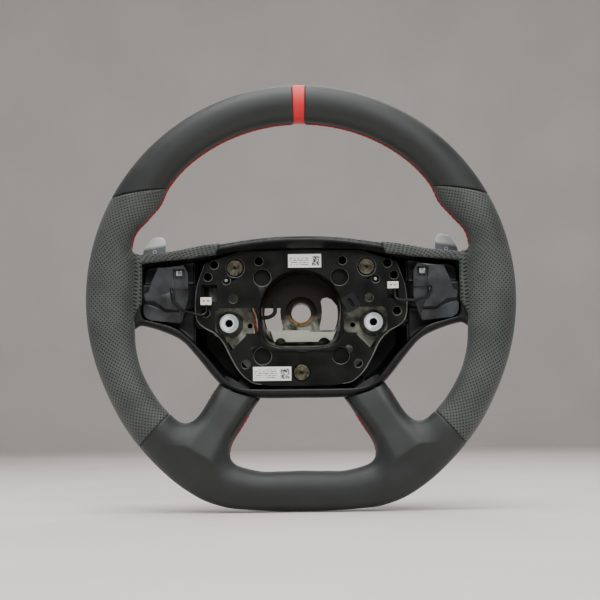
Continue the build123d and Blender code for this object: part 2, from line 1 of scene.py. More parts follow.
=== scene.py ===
import json
import math
import bmesh
import bpy
import numpy as np
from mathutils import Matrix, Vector

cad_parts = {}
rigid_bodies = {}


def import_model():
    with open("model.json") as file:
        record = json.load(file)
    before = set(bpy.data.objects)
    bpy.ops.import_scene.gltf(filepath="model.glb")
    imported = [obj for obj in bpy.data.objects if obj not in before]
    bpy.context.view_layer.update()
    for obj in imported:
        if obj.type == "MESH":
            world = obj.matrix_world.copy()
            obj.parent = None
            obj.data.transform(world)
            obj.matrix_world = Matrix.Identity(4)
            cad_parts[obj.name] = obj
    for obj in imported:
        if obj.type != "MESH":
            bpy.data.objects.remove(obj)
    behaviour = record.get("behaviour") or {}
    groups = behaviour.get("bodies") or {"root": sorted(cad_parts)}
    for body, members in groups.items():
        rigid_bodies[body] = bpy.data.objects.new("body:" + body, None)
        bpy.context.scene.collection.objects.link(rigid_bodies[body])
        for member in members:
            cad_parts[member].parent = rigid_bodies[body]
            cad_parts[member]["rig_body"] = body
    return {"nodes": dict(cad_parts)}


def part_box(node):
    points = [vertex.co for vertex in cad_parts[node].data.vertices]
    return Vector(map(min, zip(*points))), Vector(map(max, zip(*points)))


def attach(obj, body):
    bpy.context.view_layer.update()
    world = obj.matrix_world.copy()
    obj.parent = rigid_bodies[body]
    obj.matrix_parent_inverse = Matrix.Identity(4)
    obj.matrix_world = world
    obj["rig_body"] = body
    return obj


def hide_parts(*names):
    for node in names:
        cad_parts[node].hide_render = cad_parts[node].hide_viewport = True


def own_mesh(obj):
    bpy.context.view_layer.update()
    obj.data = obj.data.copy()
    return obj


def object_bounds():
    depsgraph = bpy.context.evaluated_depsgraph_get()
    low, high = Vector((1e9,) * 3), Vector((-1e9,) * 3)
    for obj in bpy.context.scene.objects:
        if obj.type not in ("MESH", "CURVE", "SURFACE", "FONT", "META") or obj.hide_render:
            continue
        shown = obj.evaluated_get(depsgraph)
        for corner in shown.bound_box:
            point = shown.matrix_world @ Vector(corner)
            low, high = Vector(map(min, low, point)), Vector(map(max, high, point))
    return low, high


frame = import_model()
CAD_BOX = [list(corner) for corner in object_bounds()]

bl_info = {
    "name": "Leather steering wheel",
    "version": (1, 0, 0),
    "blender": (4, 5, 0),
    "location": "3D View > Sidebar > Steering wheel",
    "description": "Builds the leather, stitching, shell and finishes of a steering wheel",
    "category": "Object",
}

# Everything is worked out in millimetres and turned to metres when a mesh is made.
MM = 0.001
NODES = frame["nodes"]
SIDES = (("left", -1.0), ("right", 1.0))


def node_box(name):
    """A node's lowest and highest corner, in millimetres."""
    low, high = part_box(name)
    return np.array(low) / MM, np.array(high) / MM


# The rim about its round centre: its middle plane and depth come from the frame.
TOP_LOW, TOP_HIGH = node_box("centre_stripe")
RIM_MID_Y = (TOP_LOW[1] + TOP_HIGH[1]) / 2
RIM_HALF_DEPTH = (TOP_HIGH[1] - TOP_LOW[1]) / 2
RIM_RADIUS = 190.0
RIM_CENTRE_Z = TOP_HIGH[2] - RIM_RADIUS
RIM_MIDDLE_RADIUS = 172.8
RIM_SEAM_RADIUS = 154.0
STRIPE_HALF = TOP_HIGH[0]
SHELL_LOW, SHELL_HIGH = node_box("hub_shell")
PLATE_FRONT = node_box("label_upper")[1][1]

# Angle from the top in degrees, outer and inner radius of the rim, as the frame's rim is built.
STATIONS = np.array([
    (0, 190, 155.6), (20, 190, 155.6), (38, 190, 155.2), (49, 190, 153.2), (56, 190, 149.6), (62, 190, 152.4),
    (69, 190, 157.4), (73.5, 190, 156.0), (77, 190, 150.5), (84, 190, 147.5), (98, 190, 148.6),
    (107, 190, 152.2), (116, 190.4, 154.4), (126, 192.2, 154.6), (137, 194, 152.8), (147, 196.3, 154.5),
    (153, 197, 156.3), (159, 195.4, 157.2), (166, 191, 156.2), (173, 188, 153), (180, 186.7, 151.5),
])
UPPER_SEAM = ((-167.0, 100.3), (-117.0, 108.3))
HOLES_ROUND = 28        # rows of perforations round the rim's section
SPOKE_TURN = 1.31       # where the side spoke's strip leaves the rim, in radians from the top
LOWER_SEAM = ((-143.2, -119.0), (-117.0, -90.6))
SPOKE_START = (-53.3, -45.0, -67.7)
SPOKE_END = (-89.6, -59.0, -124.9)


# ---------------------------------------------------------------- settings

class RimSettings(bpy.types.PropertyGroup):
    """Sizes and colours of the leather rim."""
    mesh_step: bpy.props.FloatProperty(
        name="Mesh step", description="Spacing of the blended leather surfaces", default=1.4 * MM,
        unit="LENGTH")
    hole_pitch: bpy.props.FloatProperty(
        name="Hole pitch", description="Spacing of the perforations along a row", default=3.9 * MM,
        unit="LENGTH")
    hole_radius: bpy.props.FloatProperty(
        name="Hole radius", description="Radius of one perforation", default=0.74 * MM, unit="LENGTH")
    stitch_pitch: bpy.props.FloatProperty(
        name="Stitch pitch", description="Length of one cross stitch along the seam", default=5.0 * MM,
        unit="LENGTH")
    thread_radius: bpy.props.FloatProperty(
        name="Thread radius", description="Radius of the sewing thread", default=0.42 * MM, unit="LENGTH")
    leather_colour: bpy.props.StringProperty(
        name="Leather", description="Leather colour, sRGB hex", default="#1b1e1d")
    stripe_colour: bpy.props.StringProperty(
        name="Stripe", description="Marker and thread colour, sRGB hex", default="#c8171f")


class HubSettings(bpy.types.PropertyGroup):
    """Sizes and colours of the hub."""
    mesh_step: bpy.props.FloatProperty(
        name="Mesh step", description="Spacing of the shell's surface", default=1.2 * MM, unit="LENGTH")
    edge_radius: bpy.props.FloatProperty(
        name="Edge radius", description="Rounding of moulded edges", default=0.35 * MM, unit="LENGTH")
    plastic_colour: bpy.props.StringProperty(
        name="Plastic", description="Moulded black plastic, sRGB hex", default="#080909")


class StageSettings(bpy.types.PropertyGroup):
    """Camera, lights and floor."""
    distance: bpy.props.FloatProperty(
        name="Distance", description="From the camera to the rim's middle plane", default=1.4, unit="LENGTH")
    below: bpy.props.FloatProperty(
        name="Below", description="Angle of the camera below the steering axis", default=math.radians(4.0),
        subtype="ANGLE")
    framed: bpy.props.FloatProperty(
        name="Framed", description="Width that the camera sees at the rim", default=0.53, unit="LENGTH")
    floor_colour: bpy.props.StringProperty(
        name="Floor", description="Pale floor, sRGB hex", default="#cfcac6")


# ---------------------------------------------------------------- node helpers

def linear(colour):
    """An sRGB hex colour as linear red, green, blue and alpha."""
    parts = [int(colour[i:i + 2], 16) / 255 for i in (1, 3, 5)]
    return [c / 12.92 if c <= 0.04045 else ((c + 0.055) / 1.055) ** 2.4 for c in parts] + [1.0]


def add(tree, kind, inputs=None, **settings):
    """Adds a node, sets its settings, and sets or links its inputs."""
    node = tree.nodes.new(kind)
    for key, value in settings.items():
        setattr(node, key, value)
    for key, value in (inputs or {}).items():
        if isinstance(value, bpy.types.NodeSocket):
            tree.links.new(value, node.inputs[key])
        else:
            node.inputs[key].default_value = value
    return node


def new_material(name, colour, roughness, metallic=0.0, ior=1.5, **sockets):
    """A material with one Principled shader; returns it with its tree, shader and object coordinates."""
    material = bpy.data.materials.new(name)
    material.use_nodes = True
    tree = material.node_tree
    shader = tree.nodes["Principled BSDF"]
    shader.inputs["Base Color"].default_value = linear(colour)
    shader.inputs["Roughness"].default_value = roughness
    shader.inputs["Metallic"].default_value = metallic
    shader.inputs["IOR"].default_value = ior
    for key, value in sockets.items():
        shader.inputs[key.replace("_", " ")].default_value = value
    place = add(tree, "ShaderNodeTexCoord").outputs["Object"]
    return material, tree, shader, place


def tone(tree, place, size, low, high, detail=3.0, first=0.35, last=0.65):
    """A noise of features of the given size in metres, as a colour between two hex colours."""
    noise = add(tree, "ShaderNodeTexNoise", {"Vector": place, "Scale": 1 / size, "Detail": detail})
    span = add(tree, "ShaderNodeMapRange", {"Value": noise.outputs["Fac"], "From Min": first,
                                            "From Max": last})
    mix = add(tree, "ShaderNodeMix", {"Factor": span.outputs["Result"]}, data_type="RGBA")
    mix.inputs["A"].default_value = linear(low)
    mix.inputs["B"].default_value = linear(high)
    return mix.outputs["Result"], noise.outputs["Fac"]


def varied(tree, shader, fac, low, high):
    """Links a roughness that wanders between two values."""
    span = add(tree, "ShaderNodeMapRange", {"Value": fac, "From Min": 0.3, "From Max": 0.7,
                                            "To Min": low, "To Max": high})
    tree.links.new(span.outputs["Result"], shader.inputs["Roughness"])


def bump(tree, shader, height, distance, strength=1.0, under=None):
    """Links a bump of the given depth in metres, over another one when given."""
    inputs = {"Height": height, "Distance": distance, "Strength": strength}
    if under is not None:
        inputs["Normal"] = under
    node = add(tree, "ShaderNodeBump", inputs)
    tree.links.new(node.outputs["Normal"], shader.inputs["Normal"])
    return node.outputs["Normal"]


# ---------------------------------------------------------------- finishes

def leather_nappa(name, colour, lit, perforated=False):
    """Drum-dyed nappa, plated matt: fine pebbled grain and a broad soft sheen."""
    settings = bpy.context.scene.wheel_rim
    material, tree, shader, place = new_material(name, colour, 0.52, ior=1.45)
    shader.inputs["Sheen Weight"].default_value = 0.08
    shader.inputs["Sheen Roughness"].default_value = 0.5
    base, fac = tone(tree, place, 0.03, colour, lit)
    varied(tree, shader, fac, 0.48, 0.58)
    # Pebbles of real nappa are 0.3 to 0.6 mm; they are drawn at 0.8 mm so that they show.
    grain = add(tree, "ShaderNodeTexVoronoi", {"Vector": place, "Scale": 1 / (0.8 * MM)},
                feature="DISTANCE_TO_EDGE")
    wrinkle = add(tree, "ShaderNodeTexNoise", {"Vector": place, "Scale": 1 / (6 * MM), "Detail": 4.0})
    under = bump(tree, shader, wrinkle.outputs["Fac"], 0.25 * MM, 0.35)
    height = add(tree, "ShaderNodeMapRange", {"Value": grain.outputs["Distance"], "From Max": 0.25})
    under = bump(tree, shader, height.outputs["Result"], 0.05 * MM, 0.5, under)
    if perforated:
        hole = perforation(tree, settings.hole_pitch, settings.hole_radius)
        # Painted shade: each perforation is painted near black, for the shade inside the hole.
        dark = add(tree, "ShaderNodeMix", {"Factor": hole, "A": base}, data_type="RGBA")
        dark.inputs["B"].default_value = linear("#010101")
        base = dark.outputs["Result"]
        sunk = add(tree, "ShaderNodeMath", {0: 1.0, 1: hole}, operation="SUBTRACT")
        bump(tree, shader, sunk.outputs["Value"], 0.5 * MM, 0.9, under)
    tree.links.new(base, shader.inputs["Base Color"])
    return material


def perforation(tree, pitch, radius):
    """One inside a hole, nought outside: holes at the corners and the middles of a square lattice."""
    surface = add(tree, "ShaderNodeUVMap", uv_map="surface").outputs["UV"]
    nearest = None
    for shift in (0.0, 0.5):
        cell = add(tree, "ShaderNodeVectorMath",
                   {0: surface, 1: (1 / pitch, 1 / pitch, 0), 2: (shift, shift, 0)}, operation="MULTIPLY_ADD")
        part = add(tree, "ShaderNodeVectorMath", {0: cell.outputs["Vector"]}, operation="FRACTION")
        centred = add(tree, "ShaderNodeVectorMath", {0: part.outputs["Vector"], 1: (0.5, 0.5, 0)},
                      operation="SUBTRACT")
        length = add(tree, "ShaderNodeVectorMath", {0: centred.outputs["Vector"]}, operation="LENGTH")
        value = length.outputs["Value"]
        if nearest is None:
            nearest = value
        else:
            closer = add(tree, "ShaderNodeMath", {0: nearest, 1: value}, operation="MINIMUM")
            nearest = closer.outputs["Value"]
    edge = radius / pitch
    span = add(tree, "ShaderNodeMapRange", {"Value": nearest, "From Min": edge * 0.8, "From Max": edge * 1.2,
                                            "To Min": 1.0, "To Max": 0.0}, interpolation_type="SMOOTHSTEP")
    return span.outputs["Result"]


def integral_foam(name):
    """Moulded polyurethane foam with a closed skin: dull black, with shallow cells."""
    material, tree, shader, place = new_material(name, "#1a1a1a", 0.8)
    cells = add(tree, "ShaderNodeTexNoise", {"Vector": place, "Scale": 1 / (1.5 * MM)})
    bump(tree, shader, cells.outputs["Fac"], 0.1 * MM, 0.4)
    return material


def bonded_thread(name, colour, lit):
    """Bonded polyester thread: a twisted sheen across each stitch."""
    material, tree, shader, place = new_material(name, colour, 0.5, ior=1.5)
    base, _ = tone(tree, place, 1.5 * MM, colour, lit)
    tree.links.new(base, shader.inputs["Base Color"])
    twist = add(tree, "ShaderNodeTexWave", {"Vector": place, "Scale": 1 / (1.2 * MM), "Distortion": 0.5},
                bands_direction="DIAGONAL")
    bump(tree, shader, twist.outputs["Fac"], 0.08 * MM, 0.6)
    return material


def moulded_plastic(name, colour, lit, roughness, grain, gloss=0.5):
    """Moulded black plastic with an eroded tool texture: many tiny dull points and paler patches of wear."""
    material, tree, shader, place = new_material(name, colour, roughness, ior=1.42, Specular_IOR_Level=gloss)
    base, fac = tone(tree, place, 0.018, colour, lit)
    tree.links.new(base, shader.inputs["Base Color"])
    varied(tree, shader, fac, roughness - 0.06, roughness + 0.08)
    # Spark-eroded texture is about 0.1 mm; it is drawn coarser so that it shows.
    spark = add(tree, "ShaderNodeTexNoise", {"Vector": place, "Scale": 1 / grain, "Detail": 5.0})
    bump(tree, shader, spark.outputs["Fac"], 0.06 * MM, 0.5)
    return material


def ramp(tree, value, first, last, low=0.0, high=1.0):
    """A value that goes smoothly from low at first to high at last."""
    node = add(tree, "ShaderNodeMapRange", {"Value": value, "From Min": first, "From Max": last,
                                            "To Min": low, "To Max": high}, interpolation_type="SMOOTHSTEP")
    return node.outputs["Result"]


def product(tree, first, second):
    """Two values multiplied."""
    return add(tree, "ShaderNodeMath", {0: first, 1: second}, operation="MULTIPLY").outputs["Value"]


def overlay(tree, base, colour, mask):
    """A colour laid over another where the mask is one."""
    mix = add(tree, "ShaderNodeMix", {"Factor": mask, "A": base}, data_type="RGBA")
    mix.inputs["B"].default_value = linear(colour)
    return mix.outputs["Result"]


BOSS_CENTRE = (0.0647, 0, -0.0104)      # the right cone, in metres; the left one mirrors it


def cast_magnesium(name):
    """High-pressure die-cast magnesium, chromate treated: grey-green, cloudy, darker in patches round the
    hub, and painted shade over the upper part round the hub.

    The arms are primed black, the two cones' faces are machined bright with a painted highlight on each one's
    left side and painted shade in each bore, and the bar below the hub keeps its clean pale skin.
    """
    material, tree, shader, place = new_material(name, "#7e8078", 0.5, metallic=0.6)
    base, fac = tone(tree, place, 9 * MM, "#45463f", "#a2a598", 6.0)
    varied(tree, shader, fac, 0.36, 0.58)
    split = add(tree, "ShaderNodeSeparateXYZ", {"Vector": place})
    x, y, z = split.outputs["X"], split.outputs["Y"], split.outputs["Z"]
    across = add(tree, "ShaderNodeMath", {0: x}, operation="ABSOLUTE").outputs["Value"]
    middle = ramp(tree, across, 0.0385, 0.0370)
    base = overlay(tree, base, "#26251d", product(tree, middle, ramp(tree, fac, 0.62, 0.4, 0.2, 0.9)))
    base = overlay(tree, base, "#0d0d0d", ramp(tree, z, -0.0500, -0.0515))
    # Painted shade: the middle's upper part, shaded by the plate's top, is painted near black.
    above = product(tree, middle, ramp(tree, z, -0.012, 0.0))
    base = overlay(tree, base, "#141210", above)
    forward = ramp(tree, y, -0.0225, -0.0235)
    bar = product(tree, product(tree, middle, forward), ramp(tree, z, -0.014, -0.015))
    base = overlay(tree, base, "#aeb2a2", bar)
    base = overlay(tree, base, "#111212", ramp(tree, across, 0.080, 0.084))
    boss = product(tree, product(tree, ramp(tree, across, 0.080, 0.079), ramp(tree, across, 0.048, 0.049)),
                   ramp(tree, z, -0.026, -0.025))
    base = overlay(tree, base, "#8f938c", product(tree, boss, ramp(tree, y, -0.0215, -0.0225)))
    flat = add(tree, "ShaderNodeCombineXYZ", {"X": across, "Z": z})
    local = add(tree, "ShaderNodeVectorMath", {0: flat.outputs["Vector"], 1: BOSS_CENTRE},
                operation="DISTANCE").outputs["Value"]
    base = overlay(tree, base, "#b3b9be", product(tree, boss, ramp(tree, y, -0.0352, -0.0358)))
    # Painted highlight: the left side of each cone's face is painted near white.
    near = ramp(tree, local, 0.0082, 0.0060)
    right = product(tree, product(tree, near, ramp(tree, x, 0.065, 0.061)), ramp(tree, x, 0.0, 0.001))
    left = product(tree, near, ramp(tree, x, -0.063, -0.066))
    cone_painted_highlight = add(tree, "ShaderNodeMath", {0: right, 1: left}, operation="ADD").outputs["Value"]
    base = overlay(tree, base, "#f4f6f8", product(tree, boss, cone_painted_highlight))
    base = overlay(tree, base, "#dfe3e6", product(tree, ramp(tree, local, 0.0050, 0.0045), boss))
    # Painted shade: each cone's bore is painted dark.
    base = overlay(tree, base, "#24272a", product(tree, boss, ramp(tree, local, 0.0037, 0.0034)))
    tree.links.new(base, shader.inputs["Base Color"])
    sand = add(tree, "ShaderNodeTexNoise", {"Vector": place, "Scale": 1 / (0.7 * MM), "Detail": 4.0})
    bump(tree, shader, sand.outputs["Fac"], 0.08 * MM, 0.5)
    return material


def stained_steel_painted_shade(name):
    """Sintered steel in brown: painted shade darkens its upper half, and the outer ring is bare and grey."""
    material, tree, shader, place = new_material(name, "#6b4f2e", 0.45, metallic=0.7)
    base, fac = tone(tree, place, 3.5 * MM, "#4a3520", "#94774a", 5.0)
    varied(tree, shader, fac, 0.35, 0.6)
    flat = add(tree, "ShaderNodeVectorMath", {0: place, 1: (1, 0, 1)}, operation="MULTIPLY")
    radius = add(tree, "ShaderNodeVectorMath", {0: flat.outputs["Vector"]},
                 operation="LENGTH").outputs["Value"]
    split = add(tree, "ShaderNodeSeparateXYZ", {"Vector": place})
    base = overlay(tree, base, "#5c5d52", ramp(tree, radius, 0.0122, 0.0126))
    # Painted shade: the upper half is painted near black, as the shade deep in the funnel.
    base = overlay(tree, base, "#0e0c0a", ramp(tree, split.outputs["Z"], -0.0065, -0.001, 0.0, 0.96))
    tree.links.new(base, shader.inputs["Base Color"])
    pits = add(tree, "ShaderNodeTexNoise", {"Vector": place, "Scale": 1 / (0.6 * MM), "Detail": 4.0})
    bump(tree, shader, pits.outputs["Fac"], 0.08 * MM, 0.6)
    return material


def turned_pad(name, centre):
    """Yellow-passivated steel turned on a lathe: fine rings round its middle, stains, and painted shade in
    its centre recess.
    """
    material, tree, shader, place = new_material(name, "#5b5340", 0.42, metallic=0.7)
    base, fac = tone(tree, place, 1.8 * MM, "#2a281f", "#625c4b", 5.0)
    mirror = add(tree, "ShaderNodeVectorMath", {0: place}, operation="ABSOLUTE") if centre[0] else None
    flat = add(tree, "ShaderNodeVectorMath", {0: mirror.outputs["Vector"] if mirror else place, 1: (1, 0, 1)},
               operation="MULTIPLY")
    local = add(tree, "ShaderNodeVectorMath",
                {0: flat.outputs["Vector"], 1: (centre[0] * MM, 0, centre[1] * MM)},
                operation="DISTANCE").outputs["Value"]
    wave = add(tree, "ShaderNodeMath", {0: product(tree, local, 2 * math.pi / (1.1 * MM))}, operation="SINE")
    base = overlay(tree, base, "#2a261d", ramp(tree, wave.outputs["Value"], 0.55, 1.0, 0.0, 0.5))
    # Painted shade: the centre recess is painted near black.
    base = overlay(tree, base, "#0d0c0a", ramp(tree, local, 1.9 * MM, 1.4 * MM))
    tree.links.new(base, shader.inputs["Base Color"])
    varied(tree, shader, fac, 0.32, 0.55)
    bump(tree, shader, wave.outputs["Value"], 0.12 * MM, 0.6)
    return material


def aged_metal(name, colour, lit, roughness, metallic, size=4.0):
    """Machined metal that has been handled: stains at the given size in mm and fine turning marks."""
    material, tree, shader, place = new_material(name, colour, roughness, metallic=metallic)
    base, fac = tone(tree, place, size * MM, colour, lit, 5.0)
    tree.links.new(base, shader.inputs["Base Color"])
    varied(tree, shader, fac, roughness - 0.1, roughness + 0.12)
    marks = add(tree, "ShaderNodeTexNoise", {"Vector": place, "Scale": 1 / (0.4 * MM), "Detail": 3.0})
    bump(tree, shader, marks.outputs["Fac"], 0.03 * MM, 0.4)
    return material


def satin_silver(name):
    """Satin-chromed zinc, finely brushed, with a ring mark: its top is painted white fading into grey lower
    down, a painted reflection of the light above.
    """
    material, tree, shader, place = new_material(name, "#c4c6c8", 0.32, metallic=0.25)
    split = add(tree, "ShaderNodeSeparateXYZ", {"Vector": place})
    across = add(tree, "ShaderNodeMath", {0: split.outputs["X"]}, operation="ABSOLUTE").outputs["Value"]
    # Painted reflection: the blade's top is painted white, fading into grey lower down.
    level = add(tree, "ShaderNodeMath", {0: across, 1: 0.18, 2: split.outputs["Z"]}, operation="MULTIPLY_ADD")
    mix = add(tree, "ShaderNodeMix", {"Factor": ramp(tree, level.outputs["Value"], 0.0825, 0.0865)},
              data_type="RGBA")
    mix.inputs["A"].default_value = linear("#747b7d")
    mix.inputs["B"].default_value = linear("#f6f7f8")
    flat = add(tree, "ShaderNodeCombineXYZ", {"X": across, "Z": split.outputs["Z"]})
    local = add(tree, "ShaderNodeVectorMath", {0: flat.outputs["Vector"], 1: (0.1325, 0, 0.0565)},
                operation="DISTANCE").outputs["Value"]
    mark = product(tree, ramp(tree, local, 1.15 * MM, 1.3 * MM), ramp(tree, local, 1.75 * MM, 1.6 * MM))
    tree.links.new(overlay(tree, mix.outputs["Result"], "#e8eaea", mark), shader.inputs["Base Color"])
    stretched = add(tree, "ShaderNodeMapping", {"Vector": place, "Scale": (4000, 4000, 120)})
    brushed = add(tree, "ShaderNodeTexNoise", {"Vector": stretched.outputs["Vector"], "Scale": 1.0})
    varied(tree, shader, brushed.outputs["Fac"], 0.28, 0.42)
    bump(tree, shader, brushed.outputs["Fac"], 0.01 * MM, 0.3)
    return material


def printed_label(name, node):
    """A white polyester label: rows of grey dashes and a block of random squares, which spell nothing."""
    low, high = node_box(node)
    width, height = (high[0] - low[0]) * MM, (high[2] - low[2]) * MM
    material, tree, shader, place = new_material(name, "#f2f2ee", 0.35)
    local = add(tree, "ShaderNodeVectorMath", {0: place, 1: (low[0] * MM, 0, low[2] * MM)},
                operation="SUBTRACT")
    split = add(tree, "ShaderNodeSeparateXYZ", {"Vector": local.outputs["Vector"]})
    x, z = split.outputs["X"], split.outputs["Z"]

    def between(value, first, last):
        over = add(tree, "ShaderNodeMath", {0: value, 1: first}, operation="GREATER_THAN")
        under = add(tree, "ShaderNodeMath", {0: value, 1: last}, operation="LESS_THAN")
        return both(over.outputs["Value"], under.outputs["Value"])

    def both(first, second):
        return add(tree, "ShaderNodeMath", {0: first, 1: second}, operation="MULTIPLY").outputs["Value"]

    row = add(tree, "ShaderNodeMath", {0: z, 1: 1.9 * MM}, operation="MODULO").outputs["Value"]
    dash = add(tree, "ShaderNodeTexNoise", {"Vector": local.outputs["Vector"], "Scale": 1 / (1.1 * MM),
                                            "Detail": 1.0})
    letters = between(dash.outputs["Fac"], 0.46, 1.0)
    lines = both(both(between(row, 0.5 * MM, 1.2 * MM), between(x, 1.5 * MM, width * 0.62)),
                 both(letters, between(z, 2.2 * MM, height - 2.0 * MM)))
    cell = 0.75 * MM
    snapped = add(tree, "ShaderNodeVectorMath", {0: local.outputs["Vector"], 1: (cell, 1.0, cell)},
                  operation="SNAP")
    random = add(tree, "ShaderNodeTexWhiteNoise", {"Vector": snapped.outputs["Vector"]})
    block = both(both(between(x, width * 0.72, width * 0.95), between(z, 1.8 * MM, height - 1.8 * MM)),
                 between(random.outputs["Value"], 0.42, 1.1))
    ink = add(tree, "ShaderNodeMath", {0: lines, 1: block}, operation="MAXIMUM")
    mix = add(tree, "ShaderNodeMix", {"Factor": ink.outputs["Value"]}, data_type="RGBA")
    mix.inputs["A"].default_value = linear("#f4f4f1")
    mix.inputs["B"].default_value = linear("#3c3e40")
    tree.links.new(mix.outputs["Result"], shader.inputs["Base Color"])
    return material


def pale_floor(name, colour):
    """Sealed pale card: even, with a faint mottle."""
    material, tree, shader, place = new_material(name, colour, 0.7)
    base, _ = tone(tree, place, 0.25, colour, "#d6d1cd")
    tree.links.new(base, shader.inputs["Base Color"])
    return material


# ---------------------------------------------------------------- mesh helpers

def link(name, mesh, material, body="wheel", replaces=()):
    """Puts a finished mesh in the scene as a piece of the wheel."""
    piece = bpy.data.objects.new(name, mesh)
    bpy.context.scene.collection.objects.link(piece)
    mesh.materials.clear()
    mesh.materials.append(material)
    mesh.shade_smooth()
    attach(piece, body)
    if replaces:
        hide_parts(*replaces)
    return piece


def mesh_from(name, points, faces):
    """A mesh from points in millimetres and faces, with doubled points merged."""
    mesh = bpy.data.meshes.new(name)
    mesh.from_pydata(np.asarray(points) * MM, [], np.asarray(faces).tolist())
    work = bmesh.new()
    work.from_mesh(mesh)
    bmesh.ops.remove_doubles(work, verts=work.verts, dist=0.002 * MM)
    bmesh.ops.recalc_face_normals(work, faces=work.faces)
    work.to_mesh(mesh)
    work.free()
    return mesh


def grid_faces(rows, columns, wrap=True):
    """Quads between neighbouring rows and columns; the columns close on themselves when wrap is set."""
    row, column = np.meshgrid(np.arange(rows - 1), np.arange(columns if wrap else columns - 1), indexing="ij")
    after = (column + 1) % columns
    quads = [row * columns + column, row * columns + after, (row + 1) * columns + after,
             (row + 1) * columns + column]
    return np.stack(quads, -1).reshape(-1, 4)


def tube_along(path, radius, sides=8, closed_ends=True):
    """Points and faces of a round tube along a path: each ring stands across the path's direction."""
    path = np.asarray(path, float)
    ahead = np.gradient(path, axis=0)
    ahead /= np.linalg.norm(ahead, axis=1, keepdims=True)
    hint = np.array([0.31, 0.87, 0.38])
    side = np.cross(ahead, hint)
    side /= np.linalg.norm(side, axis=1, keepdims=True)
    up = np.cross(side, ahead)
    turn = np.linspace(0, 2 * math.pi, sides, endpoint=False)
    radius = np.broadcast_to(radius, len(path))
    ring = (np.cos(turn)[None, :, None] * side[:, None] + np.sin(turn)[None, :, None] * up[:, None])
    points = path[:, None] + ring * radius[:, None, None]
    if closed_ends:
        first = np.broadcast_to(path[0], (1, sides, 3))
        last = np.broadcast_to(path[-1], (1, sides, 3))
        points = np.concatenate([first, points, last])
    return points.reshape(-1, 3), grid_faces(len(points), sides)


def many(shapes):
    """Joins several (points, faces) shapes into one."""
    points, faces, count = [], [], 0
    for shape_points, shape_faces in shapes:
        points.append(shape_points)
        faces.append(shape_faces + count)
        count += len(shape_points)
    return np.concatenate(points), np.concatenate(faces)


def smooth_line(points, steps, closed=False):
    """A Catmull-Rom curve through the points, as an array with the given steps in each span."""
    points = np.asarray(points, float)
    if closed:
        padded = np.concatenate([points[-1:], points, points[:2]])
    else:
        padded = np.concatenate([2 * points[:1] - points[1:2], points, 2 * points[-1:] - points[-2:-1]])
    before, start, end, after = padded[:-3], padded[1:-2], padded[2:-1], padded[3:]
    t = (np.arange(steps) / steps)[None, :, None]
    line = 0.5 * (2 * start[:, None] + (end - before)[:, None] * t
                  + (2 * before - 5 * start + 4 * end - after)[:, None] * t ** 2
                  + (3 * start - before - 3 * end + after)[:, None] * t ** 3)
    line = line.reshape(-1, points.shape[1])
    return line if closed else np.concatenate([line, points[-1:]])


def mirrored(half):
    """A closed outline from its left half, listed from the top down."""
    half = np.asarray(half, float)
    right = half[::-1] * (-1, 1)
    return np.concatenate([half, right[right[:, 0] > 0]])


class Outline:
    """Signed distance to a closed outline, stored on a fine grid and read back between its points."""

    def __init__(self, points, step=0.8, margin=14.0):
        points = np.asarray(points, float)
        self.step = step
        self.low = points.min(0) - margin
        size = ((points.max(0) + margin - self.low) / step).astype(int) + 2
        x = self.low[0] + np.arange(size[0]) * step
        z = self.low[1] + np.arange(size[1]) * step
        gx, gz = np.meshgrid(x, z, indexing="ij")
        best = np.full(gx.shape, 1e9)
        inside = np.zeros(gx.shape, bool)
        for (ax, az), (bx, bz) in zip(points, np.roll(points, -1, 0)):
            dx, dz = bx - ax, bz - az
            t = np.clip(((gx - ax) * dx + (gz - az) * dz) / max(dx * dx + dz * dz, 1e-9), 0, 1)
            best = np.minimum(best, (gx - ax - t * dx) ** 2 + (gz - az - t * dz) ** 2)
            if abs(dz) > 1e-9:
                crosses = (az > gz) != (bz > gz)
                inside ^= crosses & (gx < ax + (gz - az) * dx / dz)
        self.values = np.sqrt(best) * np.where(inside, -1, 1)

    def __call__(self, x, z):
        fx = np.clip((x - self.low[0]) / self.step, 0, self.values.shape[0] - 1.001)
        fz = np.clip((z - self.low[1]) / self.step, 0, self.values.shape[1] - 1.001)
        ix, iz = fx.astype(int), fz.astype(int)
        u, v = fx - ix, fz - iz
        near = self.values[ix, iz] * (1 - u) + self.values[ix + 1, iz] * u
        far = self.values[ix, iz + 1] * (1 - u) + self.values[ix + 1, iz + 1] * u
        return near * (1 - v) + far * v


def blend_union(a, b, width):
    """The union of two distances, with a fillet of about the given width."""
    h = np.clip(0.5 + 0.5 * (b - a) / width, 0, 1)
    return b * (1 - h) + a * h - width * h * (1 - h)


def blend_cut(a, b, width):
    """The part of a that isn't in b, with its new edge rounded."""
    return -blend_union(-a, b, width)


CUBE_EDGES = [(a, b) for a in range(8) for b in range(8) if a < b and bin(a ^ b).count("1") == 1]


